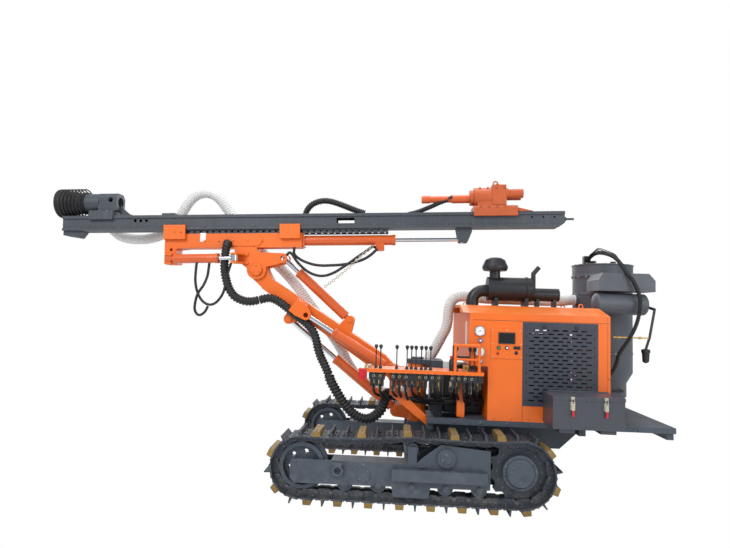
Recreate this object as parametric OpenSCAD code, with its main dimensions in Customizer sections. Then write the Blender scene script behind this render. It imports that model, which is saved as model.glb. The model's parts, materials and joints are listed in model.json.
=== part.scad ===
// Crawler drilling rig with a swinging boom, a tilting feed mast and a dust collector.
// Millimetres. X runs to the rear, Y to the machine's right, Z up from the ground.

/* [Tracks] */
// Distance between the idler and sprocket centres
wheelbase = 1896; // [1700:10:2100]
// Distance between the two track centre planes
gauge = 1760; // [1700:10:1900]
// Width of a track shoe
shoe_w = 310; // [260:5:340]
// Spacing of the chain joints
pitch = 133; // [125:1:140]
// Teeth on a drive sprocket
sprocket_teeth = 12; // [11:1:13]
// Radius of the chain joints around the idler
idler_pitch_r = 235; // [220:1:250]
// Height of the lower chain joints above the ground
pin_ground = 83; // [83:1:90]
// Height of the upper chain run over the carrier roller
carrier_run_z = 587; // [575:1:600]
// Sag of the upper run between its supports
sag = 14; // [0:1:22]
// Place of the track's middle along the machine
track_mid_x = 700; // [680:5:720]
// Radius of a lower roller
roller_r = 69; // [60:1:74]
// Thickness of the track frame's side plates
frame_plate_t = 14; // [10:1:18]

/* [Body] */
// Half the width of the engine hood
hood_half_w = 760; // [730:5:780]
// Front face of the hood
hood_front_x = 1221; // [1200:5:1240]
// Rear face of the hood
hood_rear_x = 2475; // [2440:5:2500]
// Top edge of the hood's sides
hood_side_z = 1703; // [1650:5:1750]
// Top of the hood's roof
roof_z = 1780; // [1760:5:1800]
// Thickness of a hood panel
panel_t = 25; // [15:1:30]
// Top of the platform that carries the body
platform_z = 738; // [732:1:748]
// Depth of the platform's cross rails
platform_h = 113; // [90:1:120]
// Rear end of the platform
platform_rear_x = 3040; // [2980:10:3050]
// Height of the toolbox without its lid
toolbox_h = 270; // [220:5:285]
// Depth of the toolbox
toolbox_d = 322; // [280:2:330]
// Wall of the toolbox
toolbox_t = 4; // [3:0.5:6]

/* [Boom] */
// Side place of the boom, carrier and mast
boom_y = -230; // [-260:5:-180]
// Boom length between its pivots
boom_len = 1791; // [1760:1:1820]
// Width of the boom
boom_w = 150; // [130:2:160]
// Angle of the boom above level as parked
boom_angle = 35; // [33:0.5:36]
// Place of the boom's foot pivot along the machine
boom_foot_x = 570; // [555:5:585]
// Height of the boom's foot pivot
boom_foot_z = 1051; // [1040:1:1060]
// Radius of the main pivot pins
pin_r = 35; // [30:1:38]
// Radius of the cylinders' pins
eye_pin_r = 25; // [20:1:28]
// Outer radius of the lift, side and tilt cylinders
barrel_r = 50; // [45:1:52]
// Radius of their chrome rods
rod_r = 26; // [22:1:30]

/* [Mast] */
// Slope of the mast as parked, front end lower
mast_slope = 1.7; // [0:0.1:3]
// Mast length
mast_len = 5196; // [5000:10:5300]
// Front end of the mast before the head pivot
mast_front = 2085; // [2000:5:2150]
// Bottom of the mast above the head pivot
mast_z0 = 421; // [415:1:430]
// Depth of the mast
mast_h = 154; // [145:1:165]
// Half width over the mast's flanges
mast_half_w = 100; // [92:1:106]
// Height of the drilling axis over the mast's top
drill_rise = 150; // [140:1:160]
// Radius of the spindle
spindle_r = 34; // [28:1:38]

/* [Hidden] */
$fn = 48;

// Clearances: seats of still pieces, running pins and rods, and moving pieces
seat = 0.3;
fit = 0.08;
clear = 6;
glide = 0.5;
eps = 0.5;

// Undercarriage places
idler_x = track_mid_x - wheelbase / 2;
sprocket_x = track_mid_x + wheelbase / 2;
sprocket_pitch_r = pitch * sprocket_teeth / (2 * PI);
idler_z = pin_ground + idler_pitch_r;
sprocket_z = pin_ground + sprocket_pitch_r;
carrier_x = track_mid_x + 21;
link_half_h = 32;
shoe_inner = 20;
shoe_outer = 33;
grouser_tip = pin_ground;
link_gap = 35;
link_w = 40;
frame_half_w = 102;
frame_z0 = 172;
frame_z1 = 379;
roller_z = pin_ground + link_half_h + roller_r + seat;
roller_spacing = 290;
roller_first_x = idler_x + 387;
roller_count = 5;
axle_x = track_mid_x + 312;
axle_z = 443;
axle_r = 75;

// Boom, head and mast places
head_x = boom_foot_x - boom_len * cos(boom_angle);
head_z = boom_foot_z + boom_len * sin(boom_angle);
swing_x = boom_foot_x + 200;
swing_pin_r = 45;
post_r = 95;
post_z0 = 621;
post_z1 = 1179;
lug_t = 45;
boom_side = boom_w / 2;
cheek_gap = 3;
cheek_t = 25;
cheek_in = boom_side + cheek_gap;
cheek_out = cheek_in + cheek_t;
lift_foot = [boom_foot_x - 5, boom_foot_z - 345];
side_foot = [boom_foot_x - 85, boom_foot_z + 79];
side_y = -(boom_side + 75);
ear_w = 60;
ear_t = 22;
ear_in = ear_w / 2 + 3;
ear_out = ear_in + ear_t;
// Ears on the boom, in its own frame: along the boom from the foot, and above its pivot line
lift_ear = [-1227, -208];
side_ear = [-1088, -54];
tilt_ear = [-717, 156];
// Tail pin of the head and its swing pin, in the mast's frame
tail_pin = [270, 120];
swing_pin_u = -117;
beam_z0 = 230;
beam_z1 = 378;
beam_half_w = 85;
beam_u0 = -758;
beam_u1 = 464;
mast_top = mast_z0 + mast_h;
drill_z = mast_top + drill_rise;

// Moves a point of the boom's frame or of the mast's frame to the machine's X and Z
function boom_point(p) = [boom_foot_x + p[0] * cos(boom_angle) + p[1] * sin(boom_angle),
    boom_foot_z - p[0] * sin(boom_angle) + p[1] * cos(boom_angle)];
function mast_point(p) = [head_x + p[0] * cos(mast_slope) - p[1] * sin(mast_slope),
    head_z + p[0] * sin(mast_slope) + p[1] * cos(mast_slope)];

module in_boom() {
    translate([boom_foot_x, boom_y, boom_foot_z]) rotate([0, boom_angle, 0]) children();
}

module in_mast() {
    translate([head_x, boom_y, head_z]) rotate([0, -mast_slope, 0]) children();
}

// An outline in X and Z, given a width along Y and centred on y
module slab(y, w) {
    translate([0, y + w / 2, 0]) rotate([90, 0, 0]) linear_extrude(w) children();
}

// An outline in Y and Z, pushed from x0 to x1
module run(x0, x1) {
    translate([x0, 0, 0]) rotate([90, 0, 90]) linear_extrude(x1 - x0) children();
}

module box(x0, x1, y0, y1, z0, z1) {
    translate([x0, y0, z0]) cube([x1 - x0, y1 - y0, z1 - z0]);
}

module xcyl(r, x0, x1, y, z) {
    translate([x0, y, z]) rotate([0, 90, 0]) cylinder(r = r, h = x1 - x0);
}

module ycyl(r, y0, y1, x, z) {
    translate([x, y1, z]) rotate([90, 0, 0]) cylinder(r = r, h = y1 - y0);
}

module zcyl(r, z0, z1, x, y) {
    translate([x, y, z0]) cylinder(r = r, h = z1 - z0);
}

// Two round ends joined by their outer tangents
module taper2d(p, pr, q, qr) {
    d = norm(q - p);
    a = atan2(q[1] - p[1], q[0] - p[0]);
    b = acos((pr - qr) / d);
    translate(p) circle(pr);
    translate(q) circle(qr);
    polygon([p + pr * [cos(a + b), sin(a + b)], q + qr * [cos(a + b), sin(a + b)],
        q + qr * [cos(a - b), sin(a - b)], p + pr * [cos(a - b), sin(a - b)]]);
}

// Hydraulic cylinders lie along +X from the foot pin at the origin
module barrel(length, r, inner_r, eye_r, eye_len, pin) {
    bottom = eye_r + 14;
    difference() {
        union() {
            ycyl(eye_r, -eye_len / 2, eye_len / 2, 0, 0);
            xcyl(r * 0.56, 0, bottom, 0, 0);
            xcyl(r, bottom, length - 34, 0, 0);
            xcyl(r + 4, length - 34, length, 0, 0);
        }
        ycyl(pin + fit, -eye_len, eye_len, 0, 0);
        xcyl(r - 9, bottom + 16, length - 30, 0, 0);
        xcyl(inner_r + fit, length - 31, length + 1, 0, 0);
    }
}

module rod(tail, length, r, eye_r, eye_len, pin) {
    difference() {
        union() {
            xcyl(r, tail, length, 0, 0);
            ycyl(eye_r, -eye_len / 2, eye_len / 2, length, 0);
        }
        ycyl(pin + 1, -eye_len, eye_len, length, 0);
    }
}

// Places a cylinder from its foot to its eye, both in X and Z, at side place y
module between(foot, eye, y) {
    translate([foot[0], y, foot[1]])
        rotate([0, -atan2(eye[1] - foot[1], eye[0] - foot[0]), 0]) children();
}

// Track loop: lower run, sprocket, upper run in two spans, idler
lower_len = wheelbase;
sprocket_len = PI * sprocket_pitch_r;
sprocket_top = [sprocket_x, sprocket_z + sprocket_pitch_r];
carrier_top = [carrier_x, carrier_run_z];
idler_top = [idler_x, idler_z + idler_pitch_r];
rear_span = norm(sprocket_top - carrier_top);
front_span = norm(carrier_top - idler_top);
idler_len = PI * idler_pitch_r;
s1 = lower_len;
s2 = s1 + sprocket_len;
s3 = s2 + rear_span;
s4 = s3 + front_span;
loop_len = s4 + idler_len;
shoe_count = round(loop_len / pitch);
shoe_step = loop_len / shoe_count;

// Point and heading of a sagging span at the share t of its length
function span(a, b, t) = [a[0] + (b[0] - a[0]) * t, a[1] + (b[1] - a[1]) * t - 4 * sag * t * (1 - t),
    atan2(b[1] - a[1] - 4 * sag * (1 - 2 * t), b[0] - a[0])];
function arc(c, r, a) = [c[0] + r * cos(a), c[1] + r * sin(a), a + 90];
function loop_at(s) =
    s < s1 ? [idler_x + s, pin_ground, 0] :
    s < s2 ? arc([sprocket_x, sprocket_z], sprocket_pitch_r, -90 + (s - s1) / sprocket_len * 180) :
    s < s3 ? span(sprocket_top, carrier_top, (s - s2) / rear_span) :
    s < s4 ? span(carrier_top, idler_top, (s - s3) / front_span) :
    arc([idler_x, idler_z], idler_pitch_r, 90 + (s - s4) / idler_len * 180);
// A point of a link: t along the chain and n outward from its joints
function link_point(f, t, n) = [f[0] + t * cos(f[2]) + n * sin(f[2]), f[1] + t * sin(f[2]) - n * cos(f[2])];

// Shoe outlines: along the chain and outward. Every third shoe of the upper run and every second
// of the lower run has a bolted block in place of its grouser.
edge = 0.48 * shoe_step;
grouser_shoe = [[-edge, 26], [6 - edge, shoe_outer], [-11, shoe_outer], [-6, grouser_tip],
    [6, grouser_tip], [11, shoe_outer], [edge - 6, shoe_outer], [edge, 26]];
block_shoe = [[-edge, 26], [6 - edge, shoe_outer], [-38, shoe_outer], [-33, grouser_tip - 5],
    [33, grouser_tip - 5], [38, shoe_outer], [edge - 6, shoe_outer], [edge, 26]];
function has_block(i) = loop_at((i + 0.5) * shoe_step)[1] > idler_z ? i % 3 == 0 : i % 2 == 0;
shoe_line = [for (i = [0:shoe_count - 1]) let (f = loop_at((i + 0.5) * shoe_step))
    for (p = has_block(i) ? block_shoe : grouser_shoe) link_point(f, p[0], p[1])];
function chain_line(n) = [for (i = [0:shoe_count - 1]) let (f = loop_at((i + 0.5) * shoe_step))
    for (t = [-0.5, 0.5]) link_point(f, t * 0.92 * shoe_step, n)];
link_line = [for (i = [0:shoe_count - 1]) let (f = loop_at((i + 0.5) * shoe_step))
    for (p = [[-0.46, 0.72], [-0.3, 1], [0.3, 1], [0.46, 0.72]])
        link_point(f, p[0] * shoe_step, -p[1] * link_half_h)];

module track(side) {
    color([0.26, 0.3, 0.34]) {
        slab(side * gauge / 2, shoe_w) difference() {
            polygon(shoe_line);
            polygon(chain_line(shoe_inner));
        }
        for (s = [-1, 1])
            slab(side * gauge / 2 + s * (link_gap + link_w / 2), link_w) difference() {
                polygon(chain_line(shoe_inner + 1));
                polygon(link_line);
            }
    }
}

module idlers() {
    tread_r = idler_pitch_r - link_half_h - 2;
    holes = 6;
    color([0.25, 0.28, 0.32]) for (side = [-1, 1]) difference() {
        union() {
            translate([idler_x, side * gauge / 2, idler_z]) rotate([90, 0, 0]) rotate_extrude($fn = 96)
                polygon([[30 + fit, -84], [62, -84], [62, -30], [tread_r - 34, -22], [tread_r - 34, -76],
                    [tread_r, -76], [tread_r, -29], [tread_r + 26, -24], [tread_r + 26, 24],
                    [tread_r, 29], [tread_r, 76], [tread_r - 34, 76], [tread_r - 34, 22], [62, 30],
                    [62, 84], [30 + fit, 84]]);
        }
        for (k = [0:holes - 1]) rotate([0, 0, 0])
            ycyl(21, side * gauge / 2 - 60, side * gauge / 2 + 60,
                idler_x + 114 * cos(k * 360 / holes + 15), idler_z + 114 * sin(k * 360 / holes + 15));
    }
}

// Tooth gaps stand at the chain's joints, so the teeth stand at the middles of the links
module sprockets() {
    tip_r = sprocket_pitch_r + 14;
    root_r = sprocket_pitch_r - 25;
    first = -90 + ((floor(s1 / shoe_step) + 0.5) * shoe_step - s1) / sprocket_len * 180;
    step = 360 / sprocket_teeth;
    color([0.22, 0.25, 0.29]) for (side = [-1, 1]) {
        slab(side * gauge / 2, 50) difference() {
            translate([sprocket_x, sprocket_z]) union() {
                circle(root_r, $fn = 96);
                for (k = [0:sprocket_teeth - 1]) rotate(first + k * step)
                    polygon([[root_r - 8, -50], [root_r + 6, -38], [tip_r, -17], [tip_r, 17],
                        [root_r + 6, 38], [root_r - 8, 50]]);
            }
            translate([sprocket_x, sprocket_z]) circle(drive_r + fit, $fn = 96);
        }
    }
}

drive_r = 118;
drive_hub_r = 150;
bracket_y = gauge / 2 - frame_half_w;

module frame_outline() {
    polygon([[idler_x - 98, frame_z0 + 40], [idler_x - 60, frame_z0], [axle_x + 378, frame_z0 + 16],
        [axle_x + 378, 516], [axle_x - 46, 553], [axle_x - 203, 435], [axle_x - 260, frame_z1],
        [idler_x - 80, frame_z1], [idler_x - 98, frame_z1 - 22]]);
}

// Inner plate, with the arm that carries the final drive
module drive_arm() {
    taper2d([axle_x + 300, sprocket_z], 150, [sprocket_x, sprocket_z], drive_hub_r + 12);
}

module track_frame(side) {
    y = side * gauge / 2;
    outer = y + side * (frame_half_w - frame_plate_t / 2);
    inner = y - side * (frame_half_w - frame_plate_t / 2);
    between_plates = 2 * (frame_half_w - frame_plate_t);
    color([0.25, 0.29, 0.33]) {
        slab(outer, frame_plate_t) frame_outline();
        slab(inner, frame_plate_t) union() {
            frame_outline();
            drive_arm();
        }
        box(idler_x + 262, axle_x + 378, y - between_plates / 2, y + between_plates / 2,
            frame_z1 - frame_plate_t, frame_z1);
        box(axle_x + 344, axle_x + 358, y - between_plates / 2, y + between_plates / 2, 300, 500);
        // Idler axle, lower rollers on their axles, and the carrier roller
        ycyl(30, y - frame_half_w, y + frame_half_w, idler_x, idler_z);
        for (i = [0:roller_count - 1]) {
            x = roller_first_x + i * roller_spacing;
            ycyl(roller_r, y - link_gap - link_w, y + link_gap + link_w, x, roller_z);
            ycyl(28, y - frame_half_w - 10, y + frame_half_w + 10, x, roller_z);
        }
        ycyl(52, y - link_gap - link_w, y + link_gap + link_w, carrier_x,
            carrier_run_z - link_half_h - 52 - 4);
        ycyl(20, y - frame_half_w, y + frame_half_w, carrier_x, carrier_run_z - link_half_h - 56);
        for (s = [-1, 1])
            box(carrier_x - 38, carrier_x + 38, y + s * (frame_half_w - 7) - 7,
                y + s * (frame_half_w - 7) + 7, frame_z1 - 20, carrier_run_z - link_half_h - 32);
        // Final drive through the sprocket
        ycyl(drive_r, min(inner, y + side * 60), max(inner, y + side * 60), sprocket_x, sprocket_z);
        ycyl(drive_hub_r, min(y + side * (25 + seat), y + side * 74),
            max(y + side * (25 + seat), y + side * 74), sprocket_x, sprocket_z);
        // Axle cap, lashing ring boss and rock guard on the outer plate
        ycyl(80, min(outer, outer + side * 26), max(outer, outer + side * 26), axle_x, axle_z);
        ycyl(52, min(outer, outer + side * 34), max(outer, outer + side * 34), axle_x, axle_z);
        slab(outer, frame_plate_t) polygon([[axle_x - 469, frame_z0 + 14], [axle_x - 450, 92],
            [axle_x - 150, 92], [axle_x - 130, frame_z0 + 14]]);
        lashing_ring(outer, side);
        footstep(outer, side);
    }
}

module lashing_ring(plate_y, side) {
    x = idler_x + 323;
    z = 318;
    y = plate_y + side * (frame_plate_t / 2 + 7);
    slab(y, 14) difference() {
        union() {
            translate([x, z]) circle(56);
            translate([x - 56, z]) square([112, 52]);
        }
        translate([x, z - 6]) circle(32);
    }
}

// Slatted step between two side bars
module footstep(plate_y, side) {
    x0 = track_mid_x - 152;
    x1 = track_mid_x + 657;
    y0 = plate_y + side * frame_plate_t / 2;
    depth = 66;
    slats = 3;
    for (x = [x0, x0 + (x1 - x0) / 2 - 6, x1 - 12])
        box(x, x + 12, min(y0 - side * eps, y0 + side * depth), max(y0 - side * eps, y0 + side * depth), 250, 340);
    for (k = [0:slats - 1]) {
        y = y0 + side * (14 + k * 22);
        box(x0, x1, y - 4, y + 4, 300, 340);
    }
    box(x0, x1, min(y0 + side * (depth - 8), y0 + side * depth), max(y0 + side * (depth - 8), y0 + side * depth),
        248, 342);
}

module chassis_frame() {
    rail_y = hood_half_w - 30;
    beam_in = 210;
    rail_h = 50;
    cross_y = (gauge - shoe_w) / 2 - 2 * clear;
    tower_x = swing_x + post_r + clear + 24;
    color([0.22, 0.26, 0.3]) {
        // Platform: two shallow side rails over the tracks, deeper cross rails and a floor
        for (s = [-1, 1])
            box(swing_x + 82, platform_rear_x, s * rail_y - 30, s * rail_y + 30, platform_z - rail_h, platform_z);
        for (x = [axle_x + 300, hood_rear_x - 260, platform_rear_x - 60])
            box(x, x + 60, -cross_y, cross_y, platform_z - platform_h, platform_z);
        for (y = [[-cross_y, boom_y - 149], [boom_y + 149, cross_y]])
            box(swing_x + 82, swing_x + 142, y[0], y[1], platform_z - platform_h, platform_z);
        box(hood_front_x - 60, platform_rear_x, -rail_y, rail_y, platform_z - 12, platform_z);
        // Two main beams and their cross pieces
        for (s = [-1, 1]) difference() {
            slab(s * beam_in, 90) polygon([[swing_x - 110, 470], [swing_x - 60, 400],
                [hood_rear_x - 300, 400], [hood_rear_x - 60, platform_z - platform_h + 1],
                [swing_x + 150, platform_z - platform_h + 1], [swing_x - 110, 555]]);
        }
        ycyl(axle_r, -bracket_y, bracket_y, axle_x, axle_z);
        for (s = [-1, 1])
            ycyl(axle_r + 24, min(s * bracket_y, s * (bracket_y - 26)), max(s * bracket_y, s * (bracket_y - 26)),
                axle_x, axle_z);
        box(swing_x - 110, swing_x + 30, -bracket_y, bracket_y, 240, 360);
        for (s = [-1, 1])
            box(swing_x - 100, swing_x + 20, s * beam_in - 45, s * beam_in + 45, 350, 480);
        // Tower and lugs that hold the swing post
        box(tower_x, tower_x + 120, boom_y - 150, boom_y + 150, platform_z - platform_h, post_z1 + lug_t);
        box(swing_x - 90, tower_x + 30, boom_y - 120, boom_y + 120, 520, post_z0 - 1);
        box(swing_x + 10, tower_x + 30, boom_y - 100, boom_y + 100, post_z1 + 1, post_z1 + lug_t);
        zcyl(100, post_z1 + 1, post_z1 + lug_t, swing_x, boom_y);
        zcyl(swing_pin_r, post_z0 - 20, post_z1 + lug_t + 14, swing_x, boom_y);
        zcyl(62, post_z1 + lug_t, post_z1 + lug_t + 20, swing_x, boom_y);
    }
}

// Rear modules
tank_r = 106;
tank_z = 1836;
tank_y = -205;
tank_x0 = hood_rear_x + 53;
tank_x1 = hood_rear_x + 540;
collector_x0 = hood_rear_x + 8;
collector_x1 = 3112;
collector_y0 = 60;
collector_y1 = 640;
collector_z1 = 2270;

module engine_block() {
    color([0.3, 0.3, 0.3])
        box(notch_x + 30, hood_rear_x - 220, -340, 340, platform_z, platform_z + 760);
}

// Hood panels: sides with the door openings, a notch over the valve deck, and a raised roof
door_x0 = hood_front_x + 488;
door_x1 = hood_front_x + 1136;
door_z0 = platform_z + 152;
door_z1 = hood_side_z - 78;
notch_x = hood_front_x + 195;
notch_z = platform_z + 482;

module hood_side_outline() {
    difference() {
        polygon([[notch_x, platform_z], [hood_rear_x - panel_t, platform_z],
            [hood_rear_x - panel_t, hood_side_z], [hood_front_x + panel_t, hood_side_z],
            [hood_front_x + panel_t, notch_z], [notch_x, notch_z]]);
        translate([door_x0, door_z0]) square([door_x1 - door_x0, door_z1 - door_z0]);
    }
}

module hood_side(side) {
    y = side * (hood_half_w - panel_t / 2);
    color([0.78, 0.3, 0.02]) slab(y, panel_t) hood_side_outline();
}

module hood_left() {
    difference() {
        hood_side(-1);
        // Seats of the four gauges and of the control plate
        for (g = gauges)
            ycyl(g[2] - 8, -hood_half_w - 1, -hood_half_w + panel_t + 1, hood_front_x + g[0], g[1]);
        box(panel_x0 + 20, panel_x1 - 20, -hood_half_w - 1, -hood_half_w + panel_t + 1, panel_z0 + 20, panel_z1 - 20);
    }
}

module hood_right() {
    hood_side(1);
}

module hood_front() {
    color([0.8, 0.32, 0.03]) {
        box(hood_front_x, hood_front_x + panel_t, -hood_half_w, hood_half_w, notch_z, hood_side_z);
        box(notch_x - panel_t, notch_x, -hood_half_w, hood_half_w, platform_z, notch_z);
        box(hood_front_x, notch_x, -hood_half_w + panel_t, hood_half_w - panel_t, notch_z, notch_z + panel_t);
    }
}

module hood_rear() {
    slots = 9;
    color([0.75, 0.28, 0.02]) difference() {
        box(hood_rear_x - panel_t, hood_rear_x, -hood_half_w, hood_half_w, platform_z, hood_side_z);
        for (i = [0:slots - 1])
            box(hood_rear_x - panel_t - 1, hood_rear_x + 1, -420, 420, platform_z + 260 + i * 70, platform_z + 290 + i * 70);
    }
}

module hood_roof() {
    front = hood_front_x - 60;
    chamfer_y = hood_half_w - 290;
    color([0.85, 0.4, 0.1]) {
        run(front, hood_rear_x) difference() {
            polygon([[-hood_half_w, hood_side_z], [hood_half_w, hood_side_z], [chamfer_y, roof_z], [-chamfer_y, roof_z]]);
            polygon([[-chamfer_y, hood_side_z - 1], [chamfer_y, hood_side_z - 1],
                [chamfer_y - 40, roof_z - panel_t], [40 - chamfer_y, roof_z - panel_t]]);
        }
    }
}

// Lift-out grille panels: a rim that laps the opening, and staggered slots
slot_rows = 20;
slot_cols = 7;
slot_w = 52;
slot_h = 12;
grille_gap = 3;
grille_lap = 9;
grille_rim = 4;

module grille(side) {
    y = side * hood_half_w;
    w = door_x1 - door_x0;
    h = door_z1 - door_z0;
    step_x = (w - 60) / slot_cols;
    step_z = (h - 70) / slot_rows;
    color([0.17, 0.19, 0.24]) difference() {
        union() {
            slab(y + side * grille_rim / 2, grille_rim)
                translate([door_x0 - grille_lap, door_z0 - grille_lap])
                    square([w + 2 * grille_lap, h + 2 * grille_lap]);
            slab(y - side * 8, 18) translate([door_x0 + grille_gap, door_z0 + grille_gap])
                square([w - 2 * grille_gap, h - 2 * grille_gap]);
        }
        slab(y, 60) for (r = [0:slot_rows - 1])
            for (c = [0:slot_cols - 1 - r % 2])
                translate([door_x0 + 30 + (c + 0.5 * (r % 2)) * step_x + (step_x - slot_w) / 2,
                    door_z0 + 35 + r * step_z]) square([slot_w, slot_h]);
    }
}

// Instruments: x from the hood's front, z, radius
gauges = [[91, 1539, 47], [97, 1453, 21], [92, 1351, 47], [102, 1265, 20]];
panel_x0 = hood_front_x + 193;
panel_x1 = hood_front_x + 474;
panel_z0 = 1296;
panel_z1 = 1566;

module control_panel() {
    y = -hood_half_w;
    color([0.2, 0.22, 0.25]) {
        for (g = gauges) {
            ycyl(g[2], y - 10, y, hood_front_x + g[0], g[1]);
            ycyl(g[2] - 8 - seat, y - 1, y + 60, hood_front_x + g[0], g[1]);
        }
        box(panel_x0, panel_x1, y - 6, y, panel_z0, panel_z1);
        box(panel_x0 + 20 + seat, panel_x1 - 20 - seat, y - 1, y + 70, panel_z0 + 20 + seat, panel_z1 - 20 - seat);
        box(panel_x0 + 70, panel_x0 + 210, y - 16, y - 5, panel_z0 + 139, panel_z0 + 233);
        ycyl(15, y - 20, y - 5, panel_x0 + 69, panel_z0 + 97);
        ycyl(12, y - 26, y - 5, panel_x0 + 142, panel_z0 + 99);
        ycyl(10, y - 18, y - 5, panel_x0 + 60, panel_z0 + 46);
        for (x = [205, 235])
            box(panel_x0 + x, panel_x0 + x + 22, y - 14, y - 5, panel_z0 + 88, panel_z0 + 114);
        box(panel_x0 + 215, panel_x0 + 237, y - 14, y - 5, panel_z0 + 44, panel_z0 + 66);
    }
}

// Air intake with its cap, filter canister and elbow; feet stand on the roof
filter_y = -330;
filter_z = 1948;
filter_r = 118;

module air_filter() {
    x0 = hood_front_x + 218;
    x1 = x0 + 430;
    color([0.1, 0.11, 0.13]) difference() {
        union() {
            xcyl(filter_r, x0, x1, filter_y, filter_z);
            xcyl(filter_r + 7, x1 - 60, x1 - 40, filter_y, filter_z);
            zcyl(52, filter_z + 60, 2140, x0 + 75, filter_y);
            translate([x0 + 75, filter_y, 2128]) rotate_extrude()
                polygon([[0, 0], [112, 0], [125, 22], [125, 44], [96, 108], [60, 128], [0, 132]]);
            // Elbow from the canister down to the roof
            xcyl(61, x0 - 36, x0 + 2, filter_y, filter_z - 20);
            translate([x0 - 35, filter_y, filter_z - 130]) rotate([90, -90, 0])
                rotate_extrude(angle = 90) translate([110, 0]) circle(57);
            zcyl(61, roof_z + seat, filter_z - 129, x0 - 145, filter_y);
            for (x = [x0 + 60, x1 - 80])
                box(x, x + 36, filter_y - 92, filter_y + 92, roof_z, filter_z - filter_r + 30);
        }
    }
}

module muffler() {
    x0 = hood_front_x + 662;
    x1 = x0 + 254;
    y = -320;
    z = 1902;
    color([0.12, 0.12, 0.14]) {
        xcyl(64, x0, x1, y, z);
        for (x = [x0 + 30, x1 - 60])
            box(x, x + 30, y - 46, y + 46, roof_z, z - 30);
        zcyl(22, z, 2110, x0 + 10, y);
        translate([x0 + 10, y, 2110]) rotate([0, 40, 0]) cylinder(r = 22, h = 84);
        translate([x0 + 10, y, 2110]) sphere(22);
    }
}

module dust_collector() {
    mid_y = (collector_y0 + collector_y1) / 2;
    color([0.37, 0.37, 0.4]) {
        box(collector_x0 + 36, collector_x1, collector_y0, collector_y1, 1120, 2150);
        box(collector_x0, collector_x1 + 10, collector_y0 - 28, collector_y1 + 28, 2150, 2176);
        box(collector_x0 + 10, collector_x1, collector_y0 - 18, collector_y1 + 18, 2176, collector_z1);
        // Hopper narrows to its outlet
        slab(mid_y, collector_y1 - collector_y0) polygon([[collector_x0 + 36, 1121], [collector_x1, 1121],
            [collector_x1 - 96, 1010], [collector_x1 - 96, 860], [collector_x1 - 330, 860], [collector_x0 + 140, 1010]]);
        for (x = [collector_x0 + 60, collector_x1 - 170], y = [collector_y0, collector_y1 - 50])
            box(x, x + 50, y, y + 50, platform_z, 1130);
    }
}

module collector_fan() {
    x0 = hood_rear_x + 60;
    x1 = 3079;
    y0 = -300;
    y1 = collector_y0 - seat;
    color([0.4, 0.4, 0.43]) {
        slab((y0 + y1) / 2, y1 - y0) polygon([[x0, 1962], [x1, 1962], [x1, 2072], [x1 - 60, 2140], [x0 + 40, 2140], [x0, 2072]]);
    }
}

module air_tank() {
    color([0.33, 0.33, 0.36]) {
        xcyl(tank_r, tank_x0 + 20, tank_x1 - 20, tank_y, tank_z);
        for (s = [0, 1])
            translate([s == 0 ? tank_x0 + 20 : tank_x1 - 20, tank_y, tank_z]) scale([0.42, 1, 1]) sphere(tank_r);
        for (x = [tank_x0 + 110, tank_x1 - 160])
            box(x, x + 50, tank_y, collector_y0 - seat, tank_z - 40, tank_z + 40);
    }
}

// Toolbox on two brackets beside the hood
toolbox_x0 = hood_front_x + 662;
toolbox_x1 = toolbox_x0 + 590;
toolbox_y1 = -hood_half_w - grille_rim - 1;
toolbox_y0 = toolbox_y1 - toolbox_d;
toolbox_z0 = platform_z + 13;
toolbox_z1 = toolbox_z0 + toolbox_h;

module toolbox() {
    color([0.22, 0.24, 0.29]) {
        difference() {
            box(toolbox_x0, toolbox_x1, toolbox_y0, toolbox_y1, toolbox_z0, toolbox_z1);
            box(toolbox_x0 + toolbox_t, toolbox_x1 - toolbox_t, toolbox_y0 + toolbox_t,
                toolbox_y1 - toolbox_t, toolbox_z0 + toolbox_t, toolbox_z1 + 1);
        }
        for (x = [toolbox_x0 + 60, toolbox_x1 - 190])
            box(x, x + 130, toolbox_y0 + 30, -hood_half_w - seat, toolbox_z0 - 34, toolbox_z0 + eps);
    }
}

module toolbox_lid() {
    t = 3;
    lap = 28;
    z = toolbox_z1 + seat;
    color([0.24, 0.26, 0.31]) {
        difference() {
            box(toolbox_x0 - 4, toolbox_x1 + 4, toolbox_y0 - 4, lid_axis_y + 2, z - lap, z + t);
            box(toolbox_x0 - 1, toolbox_x1 + 1, toolbox_y0 - 1, toolbox_y1 + 1, z - lap - 1, z);
        }
        xcyl(6.5, toolbox_x0 + 30, toolbox_x1 - 30, lid_axis_y, lid_axis_z);
    }
}
lid_axis_y = toolbox_y1 - 8;
lid_axis_z = toolbox_z1 + 7.5;

// Valve deck beside the boom foot
deck_z = boom_foot_z + 121;
deck_x0 = track_mid_x - 406;
deck_x1 = track_mid_x + 640;
deck_y0 = -870;
deck_y1 = -560;

module valve_deck() {
    t = 10;
    color([0.8, 0.32, 0.03]) {
        box(deck_x0, deck_x1, deck_y0, deck_y1, deck_z - t, deck_z);
        box(deck_x0, deck_x1, deck_y0, deck_y0 + t, deck_z - 30, deck_z);
        // Column and arm that stand on the platform
        box(track_mid_x - 200, track_mid_x - 130, -640, -570, deck_z - 260, deck_z - t);
        slab(-605, 60) polygon([[track_mid_x - 200, deck_z - 250], [track_mid_x + 152, platform_z - 90],
            [track_mid_x + 152, platform_z - 5], [track_mid_x - 130, deck_z - 190]]);
        box(track_mid_x + 430, track_mid_x + 500, -640, -570, platform_z, deck_z - t);
        guard_rail();
    }
}

module guard_rail() {
    r = 14;
    x0 = track_mid_x + 386;
    x1 = track_mid_x + 600;
    y = -850;
    top = deck_z + 235;
    for (x = [x0, x1])
        zcyl(r, deck_z - eps, top, x, y);
    xcyl(r, x0, x1, y, top);
    for (x = [x0, x1])
        translate([x, y, top]) sphere(r);
    xcyl(r * 0.7, x0, x1, y, deck_z + 110);
}

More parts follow.
